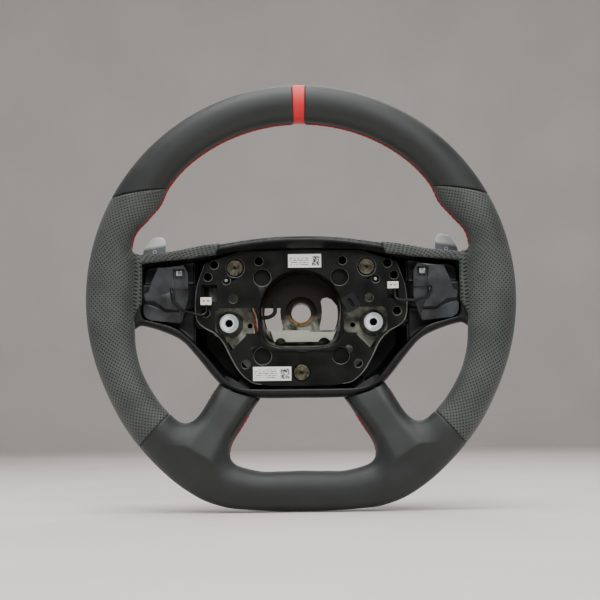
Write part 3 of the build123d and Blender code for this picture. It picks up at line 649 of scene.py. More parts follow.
def surface_of(field, low, high, step):
    """Points and faces where a field of position is zero.

    Each grid cube that the zero level crosses gets one point, the mean of the crossings on its edges, and
    each grid edge that it crosses gets a quad between the four cubes round it. The points are then moved
    along the field's slope onto the level.
    """
    axes = [np.arange(low[i] - 2 * step, high[i] + 3 * step, step) for i in range(3)]
    value = field(*np.meshgrid(*axes, indexing="ij"))
    shape = np.array(value.shape) - 1
    corners = [value[i:i + shape[0], j:j + shape[1], k:k + shape[2]]
               for i in (0, 1) for j in (0, 1) for k in (0, 1)]
    offsets = np.array([(i, j, k) for i in (0, 1) for j in (0, 1) for k in (0, 1)], float)
    total = np.zeros(tuple(shape) + (3,))
    count = np.zeros(tuple(shape))
    for a, b in CUBE_EDGES:
        crossed = (corners[a] < 0) != (corners[b] < 0)
        t = corners[a] / np.where(crossed, corners[a] - corners[b], 1.0)
        point = offsets[a] + t[..., None] * (offsets[b] - offsets[a])
        total += np.where(crossed[..., None], point, 0)
        count += crossed
    used = count > 0
    number = np.full(tuple(shape), -1)
    number[used] = np.arange(used.sum())
    where = np.argwhere(used)
    origin = np.array([axis[0] for axis in axes])
    points = origin + (where + total[used] / count[used][:, None]) * step
    faces = []
    for axis in range(3):
        one, two = [i for i in range(3) if i != axis]
        after = np.roll(value, -1, axis)
        crossed = (value < 0) != (after < 0)
        index = np.argwhere(crossed)
        keep = np.all((index > 0) & (index < np.array(value.shape) - 1), axis=1)
        index = index[keep]
        step_one, step_two = np.eye(3, dtype=int)[one], np.eye(3, dtype=int)[two]
        ring = [index - step_one - step_two, index - step_two, index, index - step_one]
        quad = np.stack([number[tuple(r.T)] for r in ring], -1)
        flip = (value[tuple(index.T)] < 0) != (axis == 1)
        faces.append(np.where(flip[:, None], quad, quad[:, ::-1]))
    for _ in range(3):
        h = 0.3 * step
        here = field(*points.T)
        slope = np.stack([(field(*(points + h * e).T) - field(*(points - h * e).T)) / (2 * h)
                          for e in np.eye(3)], -1)
        move = -here[:, None] * slope / np.maximum((slope ** 2).sum(1), 0.2)[:, None]
        points = points + np.clip(move, -0.5 * step, 0.5 * step)
    return points, np.concatenate(faces)


def set_surface_map(mesh, u, v, wrap):
    """Stores a surface map in metres; where v jumps by its wrap length inside a face, the jump is undone."""
    layer = mesh.uv_layers.new(name="surface")
    corner = np.zeros(len(mesh.loops), int)
    mesh.loops.foreach_get("vertex_index", corner)
    sizes = np.zeros(len(mesh.polygons), int)
    mesh.polygons.foreach_get("loop_total", sizes)
    first = np.repeat(np.cumsum(sizes) - sizes, sizes)
    cu, cv = u[corner], v[corner]
    cv = cv - wrap * np.round((cv - cv[first]) / wrap)
    layer.data.foreach_set("uv", np.stack([cu, cv], -1).ravel() * MM)


def mesh_points(mesh):
    """A mesh's points in millimetres."""
    co = np.zeros(len(mesh.vertices) * 3)
    mesh.vertices.foreach_get("co", co)
    return co.reshape(-1, 3) / MM


def softened(node, material, radius, body="wheel"):
    """A copy of a CAD node with its doubled points merged and its sharp edges rounded."""
    mesh = NODES[node].data.copy()
    work = bmesh.new()
    work.from_mesh(mesh)
    bmesh.ops.remove_doubles(work, verts=work.verts, dist=0.005 * MM)
    bmesh.ops.dissolve_limit(work, angle_limit=math.radians(1.0), verts=work.verts, edges=work.edges)
    work.to_mesh(mesh)
    work.free()
    piece = link(node + "_finish", mesh, material, body, [node])
    bevel = piece.modifiers.new("Edge rounding", "BEVEL")
    bevel.width = radius
    bevel.segments = 2
    bevel.limit_method = "ANGLE"
    bevel.angle_limit = math.radians(35)
    bevel.harden_normals = False
    mesh.set_sharp_from_angle(angle=math.radians(35))
    return piece


# ---------------------------------------------------------------- the rim's shape

def radii_at(angle):
    """Outer and inner radius at angles from the top in degrees, by monotone cubic curves."""
    return [monotone(STATIONS[:, 0], STATIONS[:, i], np.abs(angle)) for i in (1, 2)]


def monotone(known, values, at):
    """A cubic through known values that doesn't overshoot them."""
    step = np.diff(known)
    rise = np.diff(values) / step
    slope = np.zeros(len(known))
    same = rise[:-1] * rise[1:] > 0
    weighted = 2 * rise[:-1] * rise[1:] / np.where(same, rise[:-1] + rise[1:], 1)
    slope[1:-1] = np.where(same, weighted, 0)
    i = np.clip(np.searchsorted(known, at) - 1, 0, len(step) - 1)
    t = (at - known[i]) / step[i]
    h = step[i]
    return ((1 + 2 * t) * (1 - t) ** 2 * values[i] + t * (1 - t) ** 2 * h * slope[i]
            + t * t * (3 - 2 * t) * values[i + 1] + t * t * (t - 1) * h * slope[i + 1])


SQUARENESS = 2.15      # 2 is an ellipse; real rims are a little fuller


def rim_field(x, y, z):
    """About the distance from the rim's skin: how far the section's superellipse is exceeded."""
    up = z - RIM_CENTRE_Z
    radius = np.hypot(x, up)
    outer, inner = radii_at(np.degrees(np.arctan2(np.abs(x), up)))
    half = (outer - inner) / 2
    across = np.abs(radius - (outer + inner) / 2) / half
    deep = np.abs(y - RIM_MID_Y) / RIM_HALF_DEPTH
    level = (across ** SQUARENESS + deep ** SQUARENESS) ** (1 / SQUARENESS)
    return (level - 1) * np.minimum(half, RIM_HALF_DEPTH)


def rim_surface(angle, turn, shrink=0.0):
    """A point of the rim's skin from the angle along it and the turn round its section, in degrees.

    The section is a superellipse between the inner and outer radius; turn 0 faces outwards, 90 the
    driver and 180 the hub.
    """
    outer, inner = radii_at(angle)
    c, s = np.cos(np.radians(turn)), np.sin(np.radians(turn))
    level = (np.abs(c) ** SQUARENESS + np.abs(s) ** SQUARENESS) ** (-1 / SQUARENESS)
    radius = (outer + inner) / 2 + ((outer - inner) / 2 - shrink) * c * level
    a = np.radians(angle)
    y = RIM_MID_Y - (RIM_HALF_DEPTH - shrink) * s * level
    return np.stack([radius * np.sin(a), y + 0 * a, RIM_CENTRE_Z + radius * np.cos(a)], -1)


def seam_angles(seam):
    """Angles from the top at the outer and inner end of a seam, on the left side, as positive degrees."""
    return [math.degrees(math.atan2(-x, z - RIM_CENTRE_Z)) for x, z in seam]


def seam_plane(seam):
    """A seam's plane as (point, normal) in the front view; the normal points down the rim."""
    (ax, az), (bx, bz) = seam
    along = np.array([bx - ax, bz - az]) / math.hypot(bx - ax, bz - az)
    normal = np.array([along[1], -along[0]])
    return (ax, az), normal


def beyond(seam, x, z):
    """Distance past a seam, down the left side of the rim; x is mirrored for the right."""
    (ax, az), (nx, nz) = seam_plane(seam)
    return (-np.abs(x) - ax) * nx + (z - az) * nz


def spoke_field(x, y, z):
    """About the distance from a lower spoke: a bar with chamfered sides, flat towards the driver."""
    start, end = np.array(SPOKE_START), np.array(SPOKE_END)
    along = end - start
    length = np.linalg.norm(along)
    along = along / length
    across = np.cross(along, (0, 1, 0))
    across /= np.linalg.norm(across)
    out = np.cross(across, along)
    px, py, pz = -np.abs(x) - start[0], y - start[1], z - start[2]
    t = px * along[0] + py * along[1] + pz * along[2]
    u = np.abs(px * across[0] + py * across[1] + pz * across[2])
    v = np.abs(px * out[0] + py * out[1] + pz * out[2])
    half = 19.3 - 1.2 * np.clip(t / length, 0, 1.2)
    near = 1 - np.clip(t / 26.0, 0, 1)
    deep = 11.3 - np.where(py < 0, 6.0, 0.0) * near ** 2
    flat = np.maximum(u - half, v - deep)
    chamfer = (u / 7.0 + v / 7.5 - (half / 7.0 + deep / 7.5 - 0.95)) * 5.1
    body = -blend_union(-flat, -chamfer, 3.5)
    return np.maximum(body, np.maximum(-t - 3.0, t - length))


# ---------------------------------------------------------------- pieces

class WHEEL_OT_rim_top(bpy.types.Operator):
    """Two smooth leather pieces and the red marker across the top of the rim."""
    bl_idname = "wheel.rim_top"
    bl_label = "Rim top"

    def execute(self, context):
        settings = context.scene.wheel_rim
        black = leather_nappa("leather_nappa_black", settings.leather_colour, "#232726")
        red = leather_nappa("leather_nappa_red", settings.stripe_colour, "#d3252c")
        outer, inner = seam_angles(UPPER_SEAM)
        edge = math.degrees(STRIPE_HALF / RIM_MIDDLE_RADIUS)
        for side, sign in SIDES:
            mesh = rim_piece(f"leather_top_{side}_skin", (edge, edge), (outer, inner), sign, 150)
            piece = link(f"leather_top_{side}_skin", mesh, black, "wheel", [f"leather_top_{side}"])
        mesh = rim_piece("centre_stripe_skin", (-edge, -edge), (edge, edge), 1.0, 16)
        piece = link("centre_stripe_skin", mesh, red, "wheel", ["centre_stripe"])
        return {"FINISHED"}


def rim_piece(name, first, last, sign, rows, columns=96, rounding=1.1):
    """A sewn piece of the rim between two seams, closed at both ends.

    first and last are the seams' angles at the outer and the inner side. The rows crowd at the seams,
    where the section shrinks along a quarter circle, so that the edges turn in.
    """
    turn = np.linspace(0, 360, columns, endpoint=False)
    outward = (1 + np.cos(np.radians(turn))) / 2
    start = first[1] + (first[0] - first[1]) * outward
    end = last[1] + (last[0] - last[1]) * outward
    reach = np.radians(np.abs(end - start)).mean() * RIM_MIDDLE_RADIUS
    near = rounding * (1 - np.cos(np.linspace(0, math.pi / 2, 6)))
    along = np.concatenate([near, np.linspace(rounding, reach - rounding, rows)[1:-1], reach - near[::-1]])
    depth = np.minimum(along, reach - along)
    arc = np.sqrt(np.maximum(rounding ** 2 - (rounding - depth) ** 2, 0))
    shrink = np.where(depth < rounding, rounding - arc, 0)
    share = (along / reach)[:, None]
    angle = start[None, :] * (1 - share) + end[None, :] * share
    points = rim_surface(angle, np.broadcast_to(turn, angle.shape), shrink[:, None])
    points[..., 0] *= sign
    caps = [np.broadcast_to(points[i].mean(0), (1, columns, 3)) for i in (0, -1)]
    points = np.concatenate([caps[0], points, caps[1]])
    return mesh_from(name, points.reshape(-1, 3), grid_faces(len(points), columns))


class WHEEL_OT_rim_grips(bpy.types.Operator):
    """The perforated grips, which run on over the side spokes' upper edge."""
    bl_idname = "wheel.rim_grips"
    bl_label = "Rim grips"

    def execute(self, context):
        settings = context.scene.wheel_rim
        leather = leather_nappa("leather_nappa_perforated", "#3d413e", "#4b504c", True)
        step = settings.mesh_step / MM
        points, faces = surface_of(grip_field, (-191, -76, -121), (-70, -30, 112), step)
        for side, sign in SIDES:
            mesh = mesh_from(f"leather_grip_{side}_skin", points * (-sign, 1, 1), faces)
            place = mesh_points(mesh)
            angle = np.degrees(np.arctan2(np.abs(place[:, 0]), place[:, 2] - RIM_CENTRE_Z))
            outer, inner = radii_at(angle)
            radius = np.hypot(place[:, 0], place[:, 2] - RIM_CENTRE_Z)
            offset = radius - (outer + inner) / 2
            turn = np.arctan2(place[:, 1] - RIM_MID_Y, -offset)
            wrap = settings.hole_pitch / MM * HOLES_ROUND
            along = SPOKE_TURN + (np.radians(angle) - SPOKE_TURN) * np.clip(radius / inner, 0, 1)
            extra = np.clip(inner - radius, 0, 100)
            set_surface_map(mesh, along * RIM_MIDDLE_RADIUS, turn / (2 * math.pi) * wrap - extra, wrap)
            piece = link(f"leather_grip_{side}_skin", mesh, leather, "wheel",
                         [f"leather_grip_{side}", f"spoke_wrap_{side}"])
        return {"FINISHED"}


def grip_field(x, y, z):
    """The grip: the rim and the strip over the side spoke joined by a fillet, cut at both seams."""
    top = np.interp(-x, [70, 85, 113, 146, 160], [60.0, 58.7, 53.2, 49.9, 48.6])
    low = np.interp(-x, [70, 85, 100, 137, 146, 160], [50.5, 49.0, 46.5, 43.0, 42.0, 42.0])
    slanted = x + 72.5 + 0.45 * (57.0 - z)
    strip = blend_cut(np.maximum(z - top, low - z), 57.6 + y, 2.0)
    strip = np.maximum(np.maximum(strip, y + 33.5), np.maximum(slanted, -165.0 - x))
    root = np.maximum(np.maximum(x + 141.6, 6.0 + (x + 141.6) - z), np.maximum(z - 46.0, -165.0 - x))
    root = blend_cut(np.maximum(root, y + 33.5), 57.8 + y, 2.0)
    body = blend_union(rim_field(x, y, z), blend_union(strip, root, 2.0), 9.0)
    for cut in (beyond(UPPER_SEAM, x, z), -beyond(LOWER_SEAM, x, z)):
        body = blend_cut(body, cut, 1.2)
    return body


class WHEEL_OT_rim_bottom(bpy.types.Operator):
    """The smooth leather bottom, with both lower spokes grown out of it."""
    bl_idname = "wheel.rim_bottom"
    bl_label = "Rim bottom"

    def execute(self, context):
        settings = context.scene.wheel_rim
        points, faces = surface_of(bottom_field, (-150, -76, -178), (150, -30, -55), settings.mesh_step / MM)
        mesh = mesh_from("leather_bottom_skin", points, faces)
        piece = link("leather_bottom_skin", mesh, bpy.data.materials["leather_nappa_black"], "wheel",
                     ["leather_bottom", "lower_spoke_wrap_left", "lower_spoke_wrap_right"])
        return {"FINISHED"}


def bottom_field(x, y, z):
    """The bottom of the rim below the lower seams, joined to the lower spokes by wide fillets."""
    rim = blend_cut(rim_field(x, y, z), beyond(LOWER_SEAM, x, z), 1.2)
    body = blend_union(rim, spoke_field(x, y, z), 17.0)
    return np.maximum(body, -SHELL_SHAPE(x, z) - 0.6)


class WHEEL_OT_foam(bpy.types.Operator):
    """The foam under the leather, pressed back where the shell covers the lower spokes' ends."""
    bl_idname = "wheel.foam"
    bl_label = "Foam"

    def execute(self, context):
        material = integral_foam("polyurethane_foam_integral_skin")
        mesh = NODES["rim_foam"].data.copy()
        points = mesh_points(mesh)
        under = (SHELL_SHAPE(points[:, 0], points[:, 2]) < 6.0) & (points[:, 2] < -20)
        points[:, 1] = np.where(under, np.clip(points[:, 1], -47.0, -37.0), points[:, 1])
        mesh.vertices.foreach_set("co", (points * MM).ravel())
        link("rim_foam_moulding", mesh, material, "wheel", ["rim_foam"])
        return {"FINISHED"}


class WHEEL_OT_stitching(bpy.types.Operator):
    """Red cross stitches round the rim's inner side and along the lower spokes."""
    bl_idname = "wheel.stitching"
    bl_label = "Stitching"

    def execute(self, context):
        settings = context.scene.wheel_rim
        thread = bonded_thread("bonded_polyester_red", "#9c1119", "#bf2028")
        radius = settings.thread_radius / MM
        pitch = settings.stitch_pitch / MM
        for side, sign in SIDES:
            shapes = []
            for first, last, seam in ((2.2, 73.0, 180.0), (101.0, 130.0, 222.0)):
                shapes += ring_stitches(first, last, seam, sign, pitch, radius)
            shapes += window_stitches(sign, (0.0, -108.0), (163.0, 269.5), BOTTOM_SEAM, pitch, radius)
            shapes += window_stitches(sign, (-112.0, -58.0), (-97.0, -14.0), SIDE_SEAM, pitch, radius)
            points, faces = many(shapes)
            mesh = mesh_from(f"rim_stitches_{side}", points, faces)
            link(f"rim_stitches_{side}", mesh, thread, "wheel")
        return {"FINISHED"}


def ring_stitches(first, last, seam, sign, pitch, radius):
    """Crossed stitches along the rim's inner side between two angles, where the section's turn is seam.

    Each stitch is a thread that arches over the seam from one row of needle holes to the other, and
    every second one leans the other way.
    """
    count = int(math.radians(last - first) * RIM_SEAM_RADIUS / pitch)
    places = np.linspace(first, last, count + 1)
    share = np.linspace(-1, 1, 7)
    arch = 0.45 * (1 - share ** 2) + 0.1
    shapes = []
    for a, b in zip(places, places[1:]):
        for lean in (-1, 1):
            turn = seam + lean * share * 11.0
            angle = (a + b) / 2 + share * (b - a) / 2
            base = rim_surface(angle, turn, 0.0)
            centre = base - np.array([0, RIM_MID_Y, RIM_CENTRE_Z])
            inward = -centre * (1, 0, 1)
            inward /= np.linalg.norm(inward, axis=1, keepdims=True)
            path = (base + inward * arch[:, None]) * (sign, 1, 1)
            shapes.append(tube_along(path, radius, 6))
    return shapes


# The depth of a window's seam, as heights and the Y at each, in mm.
BOTTOM_SEAM = ([-138.0, -122.0, -95.0, -68.0], [-48.5, -54.5, -52.0, -46.0])
SIDE_SEAM = ([-95.0, -68.0], [-47.3, -46.0])


def window_stitches(sign, middle, turns, seam_depth, pitch, radius):
    """Crossed stitches down a lower spoke's side and into the corner of the window beside it.

    Rays leave the window's middle in the front view, between two turns in degrees, and stop at the
    leather; the seam runs through the points that they reach, and each stitch crosses it from one row
    of needle holes to the other.
    """
    reach = np.arange(8.0, 110.0, 0.25)
    rays = np.radians(np.linspace(*turns, 180))

    def wall(depth_offset):
        x = middle[0] + np.cos(rays)[:, None] * reach
        z = middle[1] + np.sin(rays)[:, None] * reach
        y = np.interp(z, *seam_depth) + depth_offset
        level = bottom_field(x, y, z)
        row, hit = np.arange(len(rays)), np.maximum(np.argmax(level < 0, axis=1), 1)
        before, after = level[row, hit - 1], level[row, hit]
        share = np.clip(before / (before - after), 0, 1)
        points = np.stack([x, y, z], -1)
        return points[row, hit - 1] * (1 - share)[:, None] + points[row, hit] * share[:, None]

    seam = wall(0.0)
    length = np.concatenate([[0], np.cumsum(np.linalg.norm(np.diff(seam, axis=0), axis=1))])
    rows = [wall(-1.5), seam, wall(1.5)]
    share = np.linspace(0, 1, 5)
    inward = np.stack([-np.cos(rays), 0 * rays, -np.sin(rays)], -1)
    shapes = []
    for start in np.arange(0.0, length[-1] - pitch, pitch):
        for lean in (-1, 1):
            at = start + share * pitch
            side = 1 + lean * (2 * share - 1)
            path = []
            for distance, across in zip(at, side):
                low = int(np.clip(np.floor(across), 0, 1))
                blend = across - low
                ends = [[np.interp(distance, length, row[:, i]) for i in range(3)]
                        for row in rows[low:low + 2]]
                lift = [np.interp(distance, length, inward[:, i]) for i in range(3)]
                base = np.array(ends[0]) * (1 - blend) + np.array(ends[1]) * blend
                path.append(base + np.array(lift) * 0.35)
            shapes.append(tube_along(np.array(path) * (-sign, 1, 1), radius, 6))
    return shapes


class WHEEL_OT_hub_shell(bpy.types.Operator):
    """The black shell round the module pocket, with rolled edges."""
    bl_idname = "wheel.hub_shell"
    bl_label = "Hub shell"

    def execute(self, context):
        settings = context.scene.wheel_hub
        plastic = moulded_plastic("soft_black_tpe", "#0b0c0d", "#141617", 0.4, 0.35 * MM, 0.42)
        points, faces = surface_of(shell_field, SHELL_LOW, SHELL_HIGH, settings.mesh_step / MM)
        mesh = mesh_from("hub_shell_skin", points, faces)
        link("hub_shell_skin", mesh, plastic, "wheel", ["hub_shell"])
        return {"FINISHED"}


# The left half of the shell's outside and of its pocket, from the top down.
SHELL_OUTLINE = [(0, 66), (-37, 64.2), (-85, 57), (-113, 51.5), (-135, 49.2), (-153, 47.5), (-153, -13),
                 (-141.4, -12.7), (-123.8, -17.6), (-106.5, -26), (-94, -39.2), (-77.8, -59.5), (-66, -70),
                 (-48, -76.3), (-30, -78), (0, -78)]
POCKET_OUTLINE = [(0, 55.5), (-54, 54), (-86, 47), (-112, 44), (-136, 41), (-141, 32), (-141.5, 5),
                  (-139.5, -6), (-130, -9.5), (-112, -15), (-98, -26), (-83, -42), (-66, -62), (-52, -69),
                  (-30, -70), (0, -70)]
SHELL_SHAPE = Outline(smooth_line(mirrored(SHELL_OUTLINE), 6, True))
POCKET_SHAPE = Outline(smooth_line(mirrored(POCKET_OUTLINE), 6, True))


def shell_field(x, y, z):
    """The shell: a wall between two outlines, with a crest towards the driver, and a floor in the side arms.

    The crest runs near the pocket below, where the outside is a broad round shoulder, and near the
    outer edge above, where the inside slopes back and a fine groove follows the edge.
    """
    outer = SHELL_SHAPE(x, z) + 3.0 * np.clip((y + 50.0) / 19.0, 0, 1)
    pocket = POCKET_SHAPE(x, z)
    inward = -SHELL_SHAPE(x, z)
    above = np.clip((z - 22.0) / 18.0, 0, 1)
    crest = 7.2 - 3.6 * above
    shoulder = (5.5 - 3.5 * above) * (1 - np.clip(inward / crest, 0, 1)) ** 2
    slope = 10.0 * above * np.clip((inward - crest - 0.8) / 6.0, 0, 1)
    groove = 1.3 * above * np.exp(-((inward - 1.9) / 0.55) ** 2)
    front = SHELL_LOW[1] + shoulder + slope + groove
    wall = blend_cut(np.maximum(outer, -pocket), -(front - y), 1.6)
    floor = np.maximum(np.maximum(outer, -34.0 - y), 96.0 - np.abs(x))
    sleeve = np.maximum(np.maximum(np.abs(z - 13.5) - 11.0, 86.0 - np.abs(x)),
                        np.maximum(np.abs(x) - 146.0, sleeve_front(np.abs(x)) - y))
    body = blend_union(wall, blend_union(floor, sleeve, 3.0), 3.0)
    return np.maximum(np.maximum(body, y - SHELL_HIGH[1]), -rim_field(x, y, z) - 1.0)


def sleeve_front(x):
    """The front of the black sleeve over each side arm, which follows the arm towards the rim."""
    return np.interp(x, [86, 96, 112, 146], [-33.5, -38.2, -47.4, -47.4])


class WHEEL_OT_plate_edges(bpy.types.Operator):
    """Edges of the carrier plate: its lip and the hole rims, painted light grey as painted highlights, and
    the funnel round its opening.
    """
    bl_idname = "wheel.plate_edges"
    bl_label = "Plate edges"

    def execute(self, context):
        # Painted highlight: the lip and the hole rims are a light grey plastic on the black plate.
        edge_painted_highlight = moulded_plastic("glass_filled_nylon_painted_highlight", "#3f4340", "#666b67", 0.3, 0.3 * MM)
        black = moulded_plastic("glass_filled_nylon_shadow", "#070707", "#101111", 0.3, 0.3 * MM, 0.35)
        outline = smooth_line(PLATE_EDGE, 8)
        shapes = []
        for sign in (-1, 1):
            lifted = np.full(len(outline), PLATE_FRONT - 0.25)
            path = np.stack([outline[:, 0] * -sign, lifted, outline[:, 1]], -1)
            shapes.append(tube_along(path, lip_radius(outline), 8))
        link("plate_lip", mesh_from("plate_lip", *many(shapes)), edge_painted_highlight)
        link("opening_funnel", funnel_mesh(), black)
        rims = [ring_at(x, z, radius) for x, z, radius in HOLE_RIMS]
        link("hole_rims", mesh_from("hole_rims", *many(rims)), edge_painted_highlight)
        return {"FINISHED"}


# The left edge of the carrier plate, from the top down, a little inside its outline.
PLATE_EDGE = [(-86.5, 41.0), (-92.6, 23.0), (-94.3, 11.0), (-94.4, 0.5), (-92.4, -8.6), (-86.5, -14.4),
              (-77, -19.8), (-69.4, -28.4), (-62.9, -41.4), (-54.9, -54.8), (-44.9, -63.4), (-36, -65.6)]
# Round holes of the plate that have a bevelled rim: x, z and radius.
HOLE_RIMS = [(sign * x, z, radius) for sign in (-1, 1) for x, z, radius in (
    (37.4, 44.8, 3.6), (77.5, 42.0, 3.6), (83.2, 31.3, 3.6), (60.7, 11.4, 3.6), (85.5, -1.0, 3.6),
    (50.1, -47.3, 3.6), (34.6, 30.1, 7.6), (34.8, -40.1, 7.6), (66.8, 28.0, 3.5), (58.8, 39.0, 8.2))]


def lip_radius(outline):
    """The plate's lip is thickest down its lower side and thin towards both ends."""
    share = np.clip((30.0 - outline[:, 1]) / 40.0, 0, 1)
    return 0.3 + 0.35 * share * np.clip((outline[:, 1] + 68.0) / 12.0, 0, 1)


def ring_at(x, z, radius):
    """A bevelled rim round a hole, from the plate's front down into it, carrying a painted highlight; widest
    at the lower right.
    """
    turn = np.linspace(0, 2 * math.pi, 40, endpoint=False)
    profile = np.array([(0.95, -0.02), (0.8, -0.22), (0.35, -0.16), (-0.15, 1.0), (0.3, 0.9)])
    full = 0.25 + 0.75 * np.clip(0.45 + 0.8 * np.cos(turn + 1.1), 0, 1)
    r = radius + profile[:, 0][:, None] * full
    y = PLATE_FRONT + profile[:, 1][:, None] * np.where(profile[:, 1][:, None] < 0, full, 1)
    points = np.stack([x + r * np.cos(turn), y, z + r * np.sin(turn)], -1)
    points = np.concatenate([points, points[:1]])
    return points.reshape(-1, 3), grid_faces(6, 40)


# The funnel's profile: how far outside the opening, how deep, and whether the ridge lifts it.
FUNNEL_PROFILE = ((3.2, 0.3, 0), (3.1, -0.5, 1), (2.5, -1.5, 1), (1.2, -1.7, 1), (0.3, -1.2, 1),
                  (-0.1, 0.2, 0), (-0.3, 3.0, 0), (-1.0, 17.6, 0), (-0.4, 17.8, 0))


def funnel_mesh():
    """The funnel: a profile of depth and inset carried round the opening, closed behind.

    The opening is round above and squarer below. The wall leans in as it goes back, most at the
    bottom, and the front ridge rises only along the lower half and dips in its middle.
    """
    turn = np.linspace(0, 2 * math.pi, 160, endpoint=False)
    c, s = np.sin(turn), np.cos(turn)
    below = np.clip(-s * 1.6, 0, 1)
    full = 2 + 2.2 * below
    reach = (np.abs(c) ** full + np.abs(s) ** full) ** (-1 / full)
    x, z = 36.0 * reach * c, (36.0 - 3.0 * below) * reach * s
    ridge = np.clip((-10.0 - z) / 8.0, 0, 1)
    lean = 1.0 + 3.0 * below + 1.6 * np.clip(s, 0, 1)
    dip = 2.2 * np.exp(-((x - 1.0) / 6.0) ** 2) * below
    rows = []
    for inset, depth, lifted in FUNNEL_PROFILE:
        out = inset * (0.25 + 0.75 * ridge) if inset > 0 else inset * lean
        scale = 1 + out / 36.0
        y = PLATE_FRONT + (depth * ridge if lifted else depth) + 0 * turn
        down = dip * lifted * (inset > 1.5)
        rows.append(np.stack([x * scale, y, z * scale - down], -1))
    rows = np.array(rows + rows[:1])
    return mesh_from("opening_funnel", rows.reshape(-1, 3), grid_faces(len(rows), 160))


class WHEEL_OT_wires(bpy.types.Operator):
    """The twisted wires seen in the left boss window, in three colours."""
    bl_idname = "wheel.wires"
    bl_label = "Wires"

    def execute(self, context):
        colours = (("red", "#8e2415", "#b03a24"), ("white", "#cfc6bb", "#e6dfd6"),
                   ("brown", "#4a2418", "#6b3a28"))
        for number, (name, colour, lit) in enumerate(colours):
            finish = moulded_plastic(f"pvc_wire_{name}", colour, lit, 0.38, 0.4 * MM)
            shapes = [tube_along(strand_path(number + 3 * pair), 0.55, 8) for pair in (0, 1)]
            link(f"harness_wire_{name}", mesh_from(f"harness_wire_{name}", *many(shapes)), finish, "wheel",
                 ["harness_wires"])
        return {"FINISHED"}


def strand_path(number):
    """One of six strands: a helix of radius 1.5 round the bundle's middle line, which bows to the right."""
    middle = smooth_line([(-47, -28.7, 31), (-44.5, -28.7, 17), (-42.3, -28.7, 5), (-40.6, -28.7, -5),
                          (-41.0, -28.7, -15), (-40.6, -28.9, -25), (-36, -29, -34), (-30, -29, -41)], 10)
    share = np.linspace(0, 1, len(middle))
    phase = number * math.pi / 3 + share * 9.0
    wide = 1.5 * np.minimum(1, 8 * np.minimum(share, 1 - share) + 0.3)
    return middle + np.stack([wide * np.cos(phase), wide * np.sin(phase) * 0.8, 0 * share], -1)


class WHEEL_OT_rigid_parts(bpy.types.Operator):
    """Finishes for every rigid node: moulded, cast and metal parts keep their shape and get rounded edges."""
    bl_idname = "wheel.rigid_parts"
    bl_label = "Rigid parts"

    def execute(self, context):
        radius = context.scene.wheel_hub.edge_radius
        finishes = rigid_finishes()
        for node, (finish, rounded) in finishes.items():
            body = NODES[node]["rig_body"]
            if rounded:
                softened(node, finish, radius * rounded, body)
            else:
                NODES[node].data.materials.clear()
                NODES[node].data.materials.append(finish)
        return {"FINISHED"}


def rigid_finishes():
    """The finish of each rigid node, and how much its edges are rounded, in edge radii; nought leaves it."""
    settings = bpy.context.scene.wheel_hub
    plate = moulded_plastic("glass_filled_nylon_black", settings.plastic_colour, "#131514", 0.34, 0.3 * MM,
                            0.3)
    cover = moulded_plastic("abs_black_grained", "#131415", "#1b1d1e", 0.5, 0.5 * MM)
    grey = moulded_plastic("abs_dark_grey", "#1b1c1e", "#36383b", 0.34, 0.3 * MM, 0.6)
    nylon = moulded_plastic("nylon_black", "#0a0b0b", "#141516", 0.4, 0.3 * MM, 0.35)
    white = moulded_plastic("pbt_white", "#dcd9cf", "#efede6", 0.4, 0.3 * MM)
    sleeve = moulded_plastic("pvc_black", "#0c0c0d", "#17181a", 0.45, 0.3 * MM)
    casting = cast_magnesium("magnesium_die_cast")
    hub = stained_steel_painted_shade("sintered_steel_stained_painted_shade")
    steel = aged_metal("steel_zinc_plated", "#8a8c8e", "#b4b6b8", 0.35, 0.9)
    black = aged_metal("steel_black_zinc", "#1c1d1f", "#303234", 0.45, 0.8)
    silver = satin_silver("zinc_satin_chrome")
    table = {
        "rim_core": (steel, 0), "hub_casting": (casting, 1.2), "spline_hub": (hub, 0.5),
        "hub_collar": (casting, 1.2), "hub_cross_bar": (casting, 0.8),
        "back_cover": (cover, 2.0), "carrier_plate": (plate, 1.6),
        "horn_module": (nylon, 0.8), "cable_clip": (nylon, 0.8), "cable_hook": (nylon, 0.8),
        "carrier_screws": (black, 0), "back_cover_screws": (black, 0), "retaining_pins": (steel, 0),
        "label_upper": (printed_label("polyester_label_upper", "label_upper"), 0),
        "label_lower": (printed_label("polyester_label_lower", "label_lower"), 0),
    }
    for side, _ in SIDES:
        table.update({
            f"switch_bracket_{side}": (grey, 1.5), f"switch_clip_{side}": (steel, 0),
            f"switch_plug_{side}": (white, 0.5), f"switch_cable_{side}": (sleeve, 0),
            f"paddle_blade_{side}": (silver, 2.0), f"paddle_lever_{side}": (nylon, 1.0),
            f"paddle_pin_{side}": (steel, 0), f"paddle_bracket_{side}": (black, 0.6),
            f"paddle_switch_{side}": (nylon, 0.5), f"paddle_screws_{side}": (black, 0),
        })
    upper_pad = turned_pad("steel_turned_upper", (58.8, 39.0))
    lower_pad = turned_pad("steel_turned_lower", (0, -55.2))
    for spot in ("left", "right", "bottom"):
        pad = lower_pad if spot == "bottom" else upper_pad
        table.update({f"contact_pad_{spot}": (pad, 1.2), f"pad_cup_{spot}": (nylon, 0)})
    return table


class WHEEL_OT_springs(bpy.types.Operator):
    """The coil springs, copied from the CAD with a plated wire finish."""
    bl_idname = "wheel.springs"
    bl_label = "Springs"

    def execute(self, context):
        wire = aged_metal("music_wire_zinc_plated", "#8d9092", "#b6b9bb", 0.3, 0.9)
        for spot in ("left", "right", "bottom"):
            spring_copy(f"contact_spring_{spot}", wire)
        for side, _ in SIDES:
            spring_copy(f"paddle_spring_{side}", wire)
        return {"FINISHED"}


def spring_copy(node, wire):
    """A copy of a CAD spring with the wire finish, on the same body as the node."""
    mesh = NODES[node].data.copy()
    piece = link(node + "_wire", mesh, wire, NODES[node]["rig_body"], [node])
    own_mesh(piece)


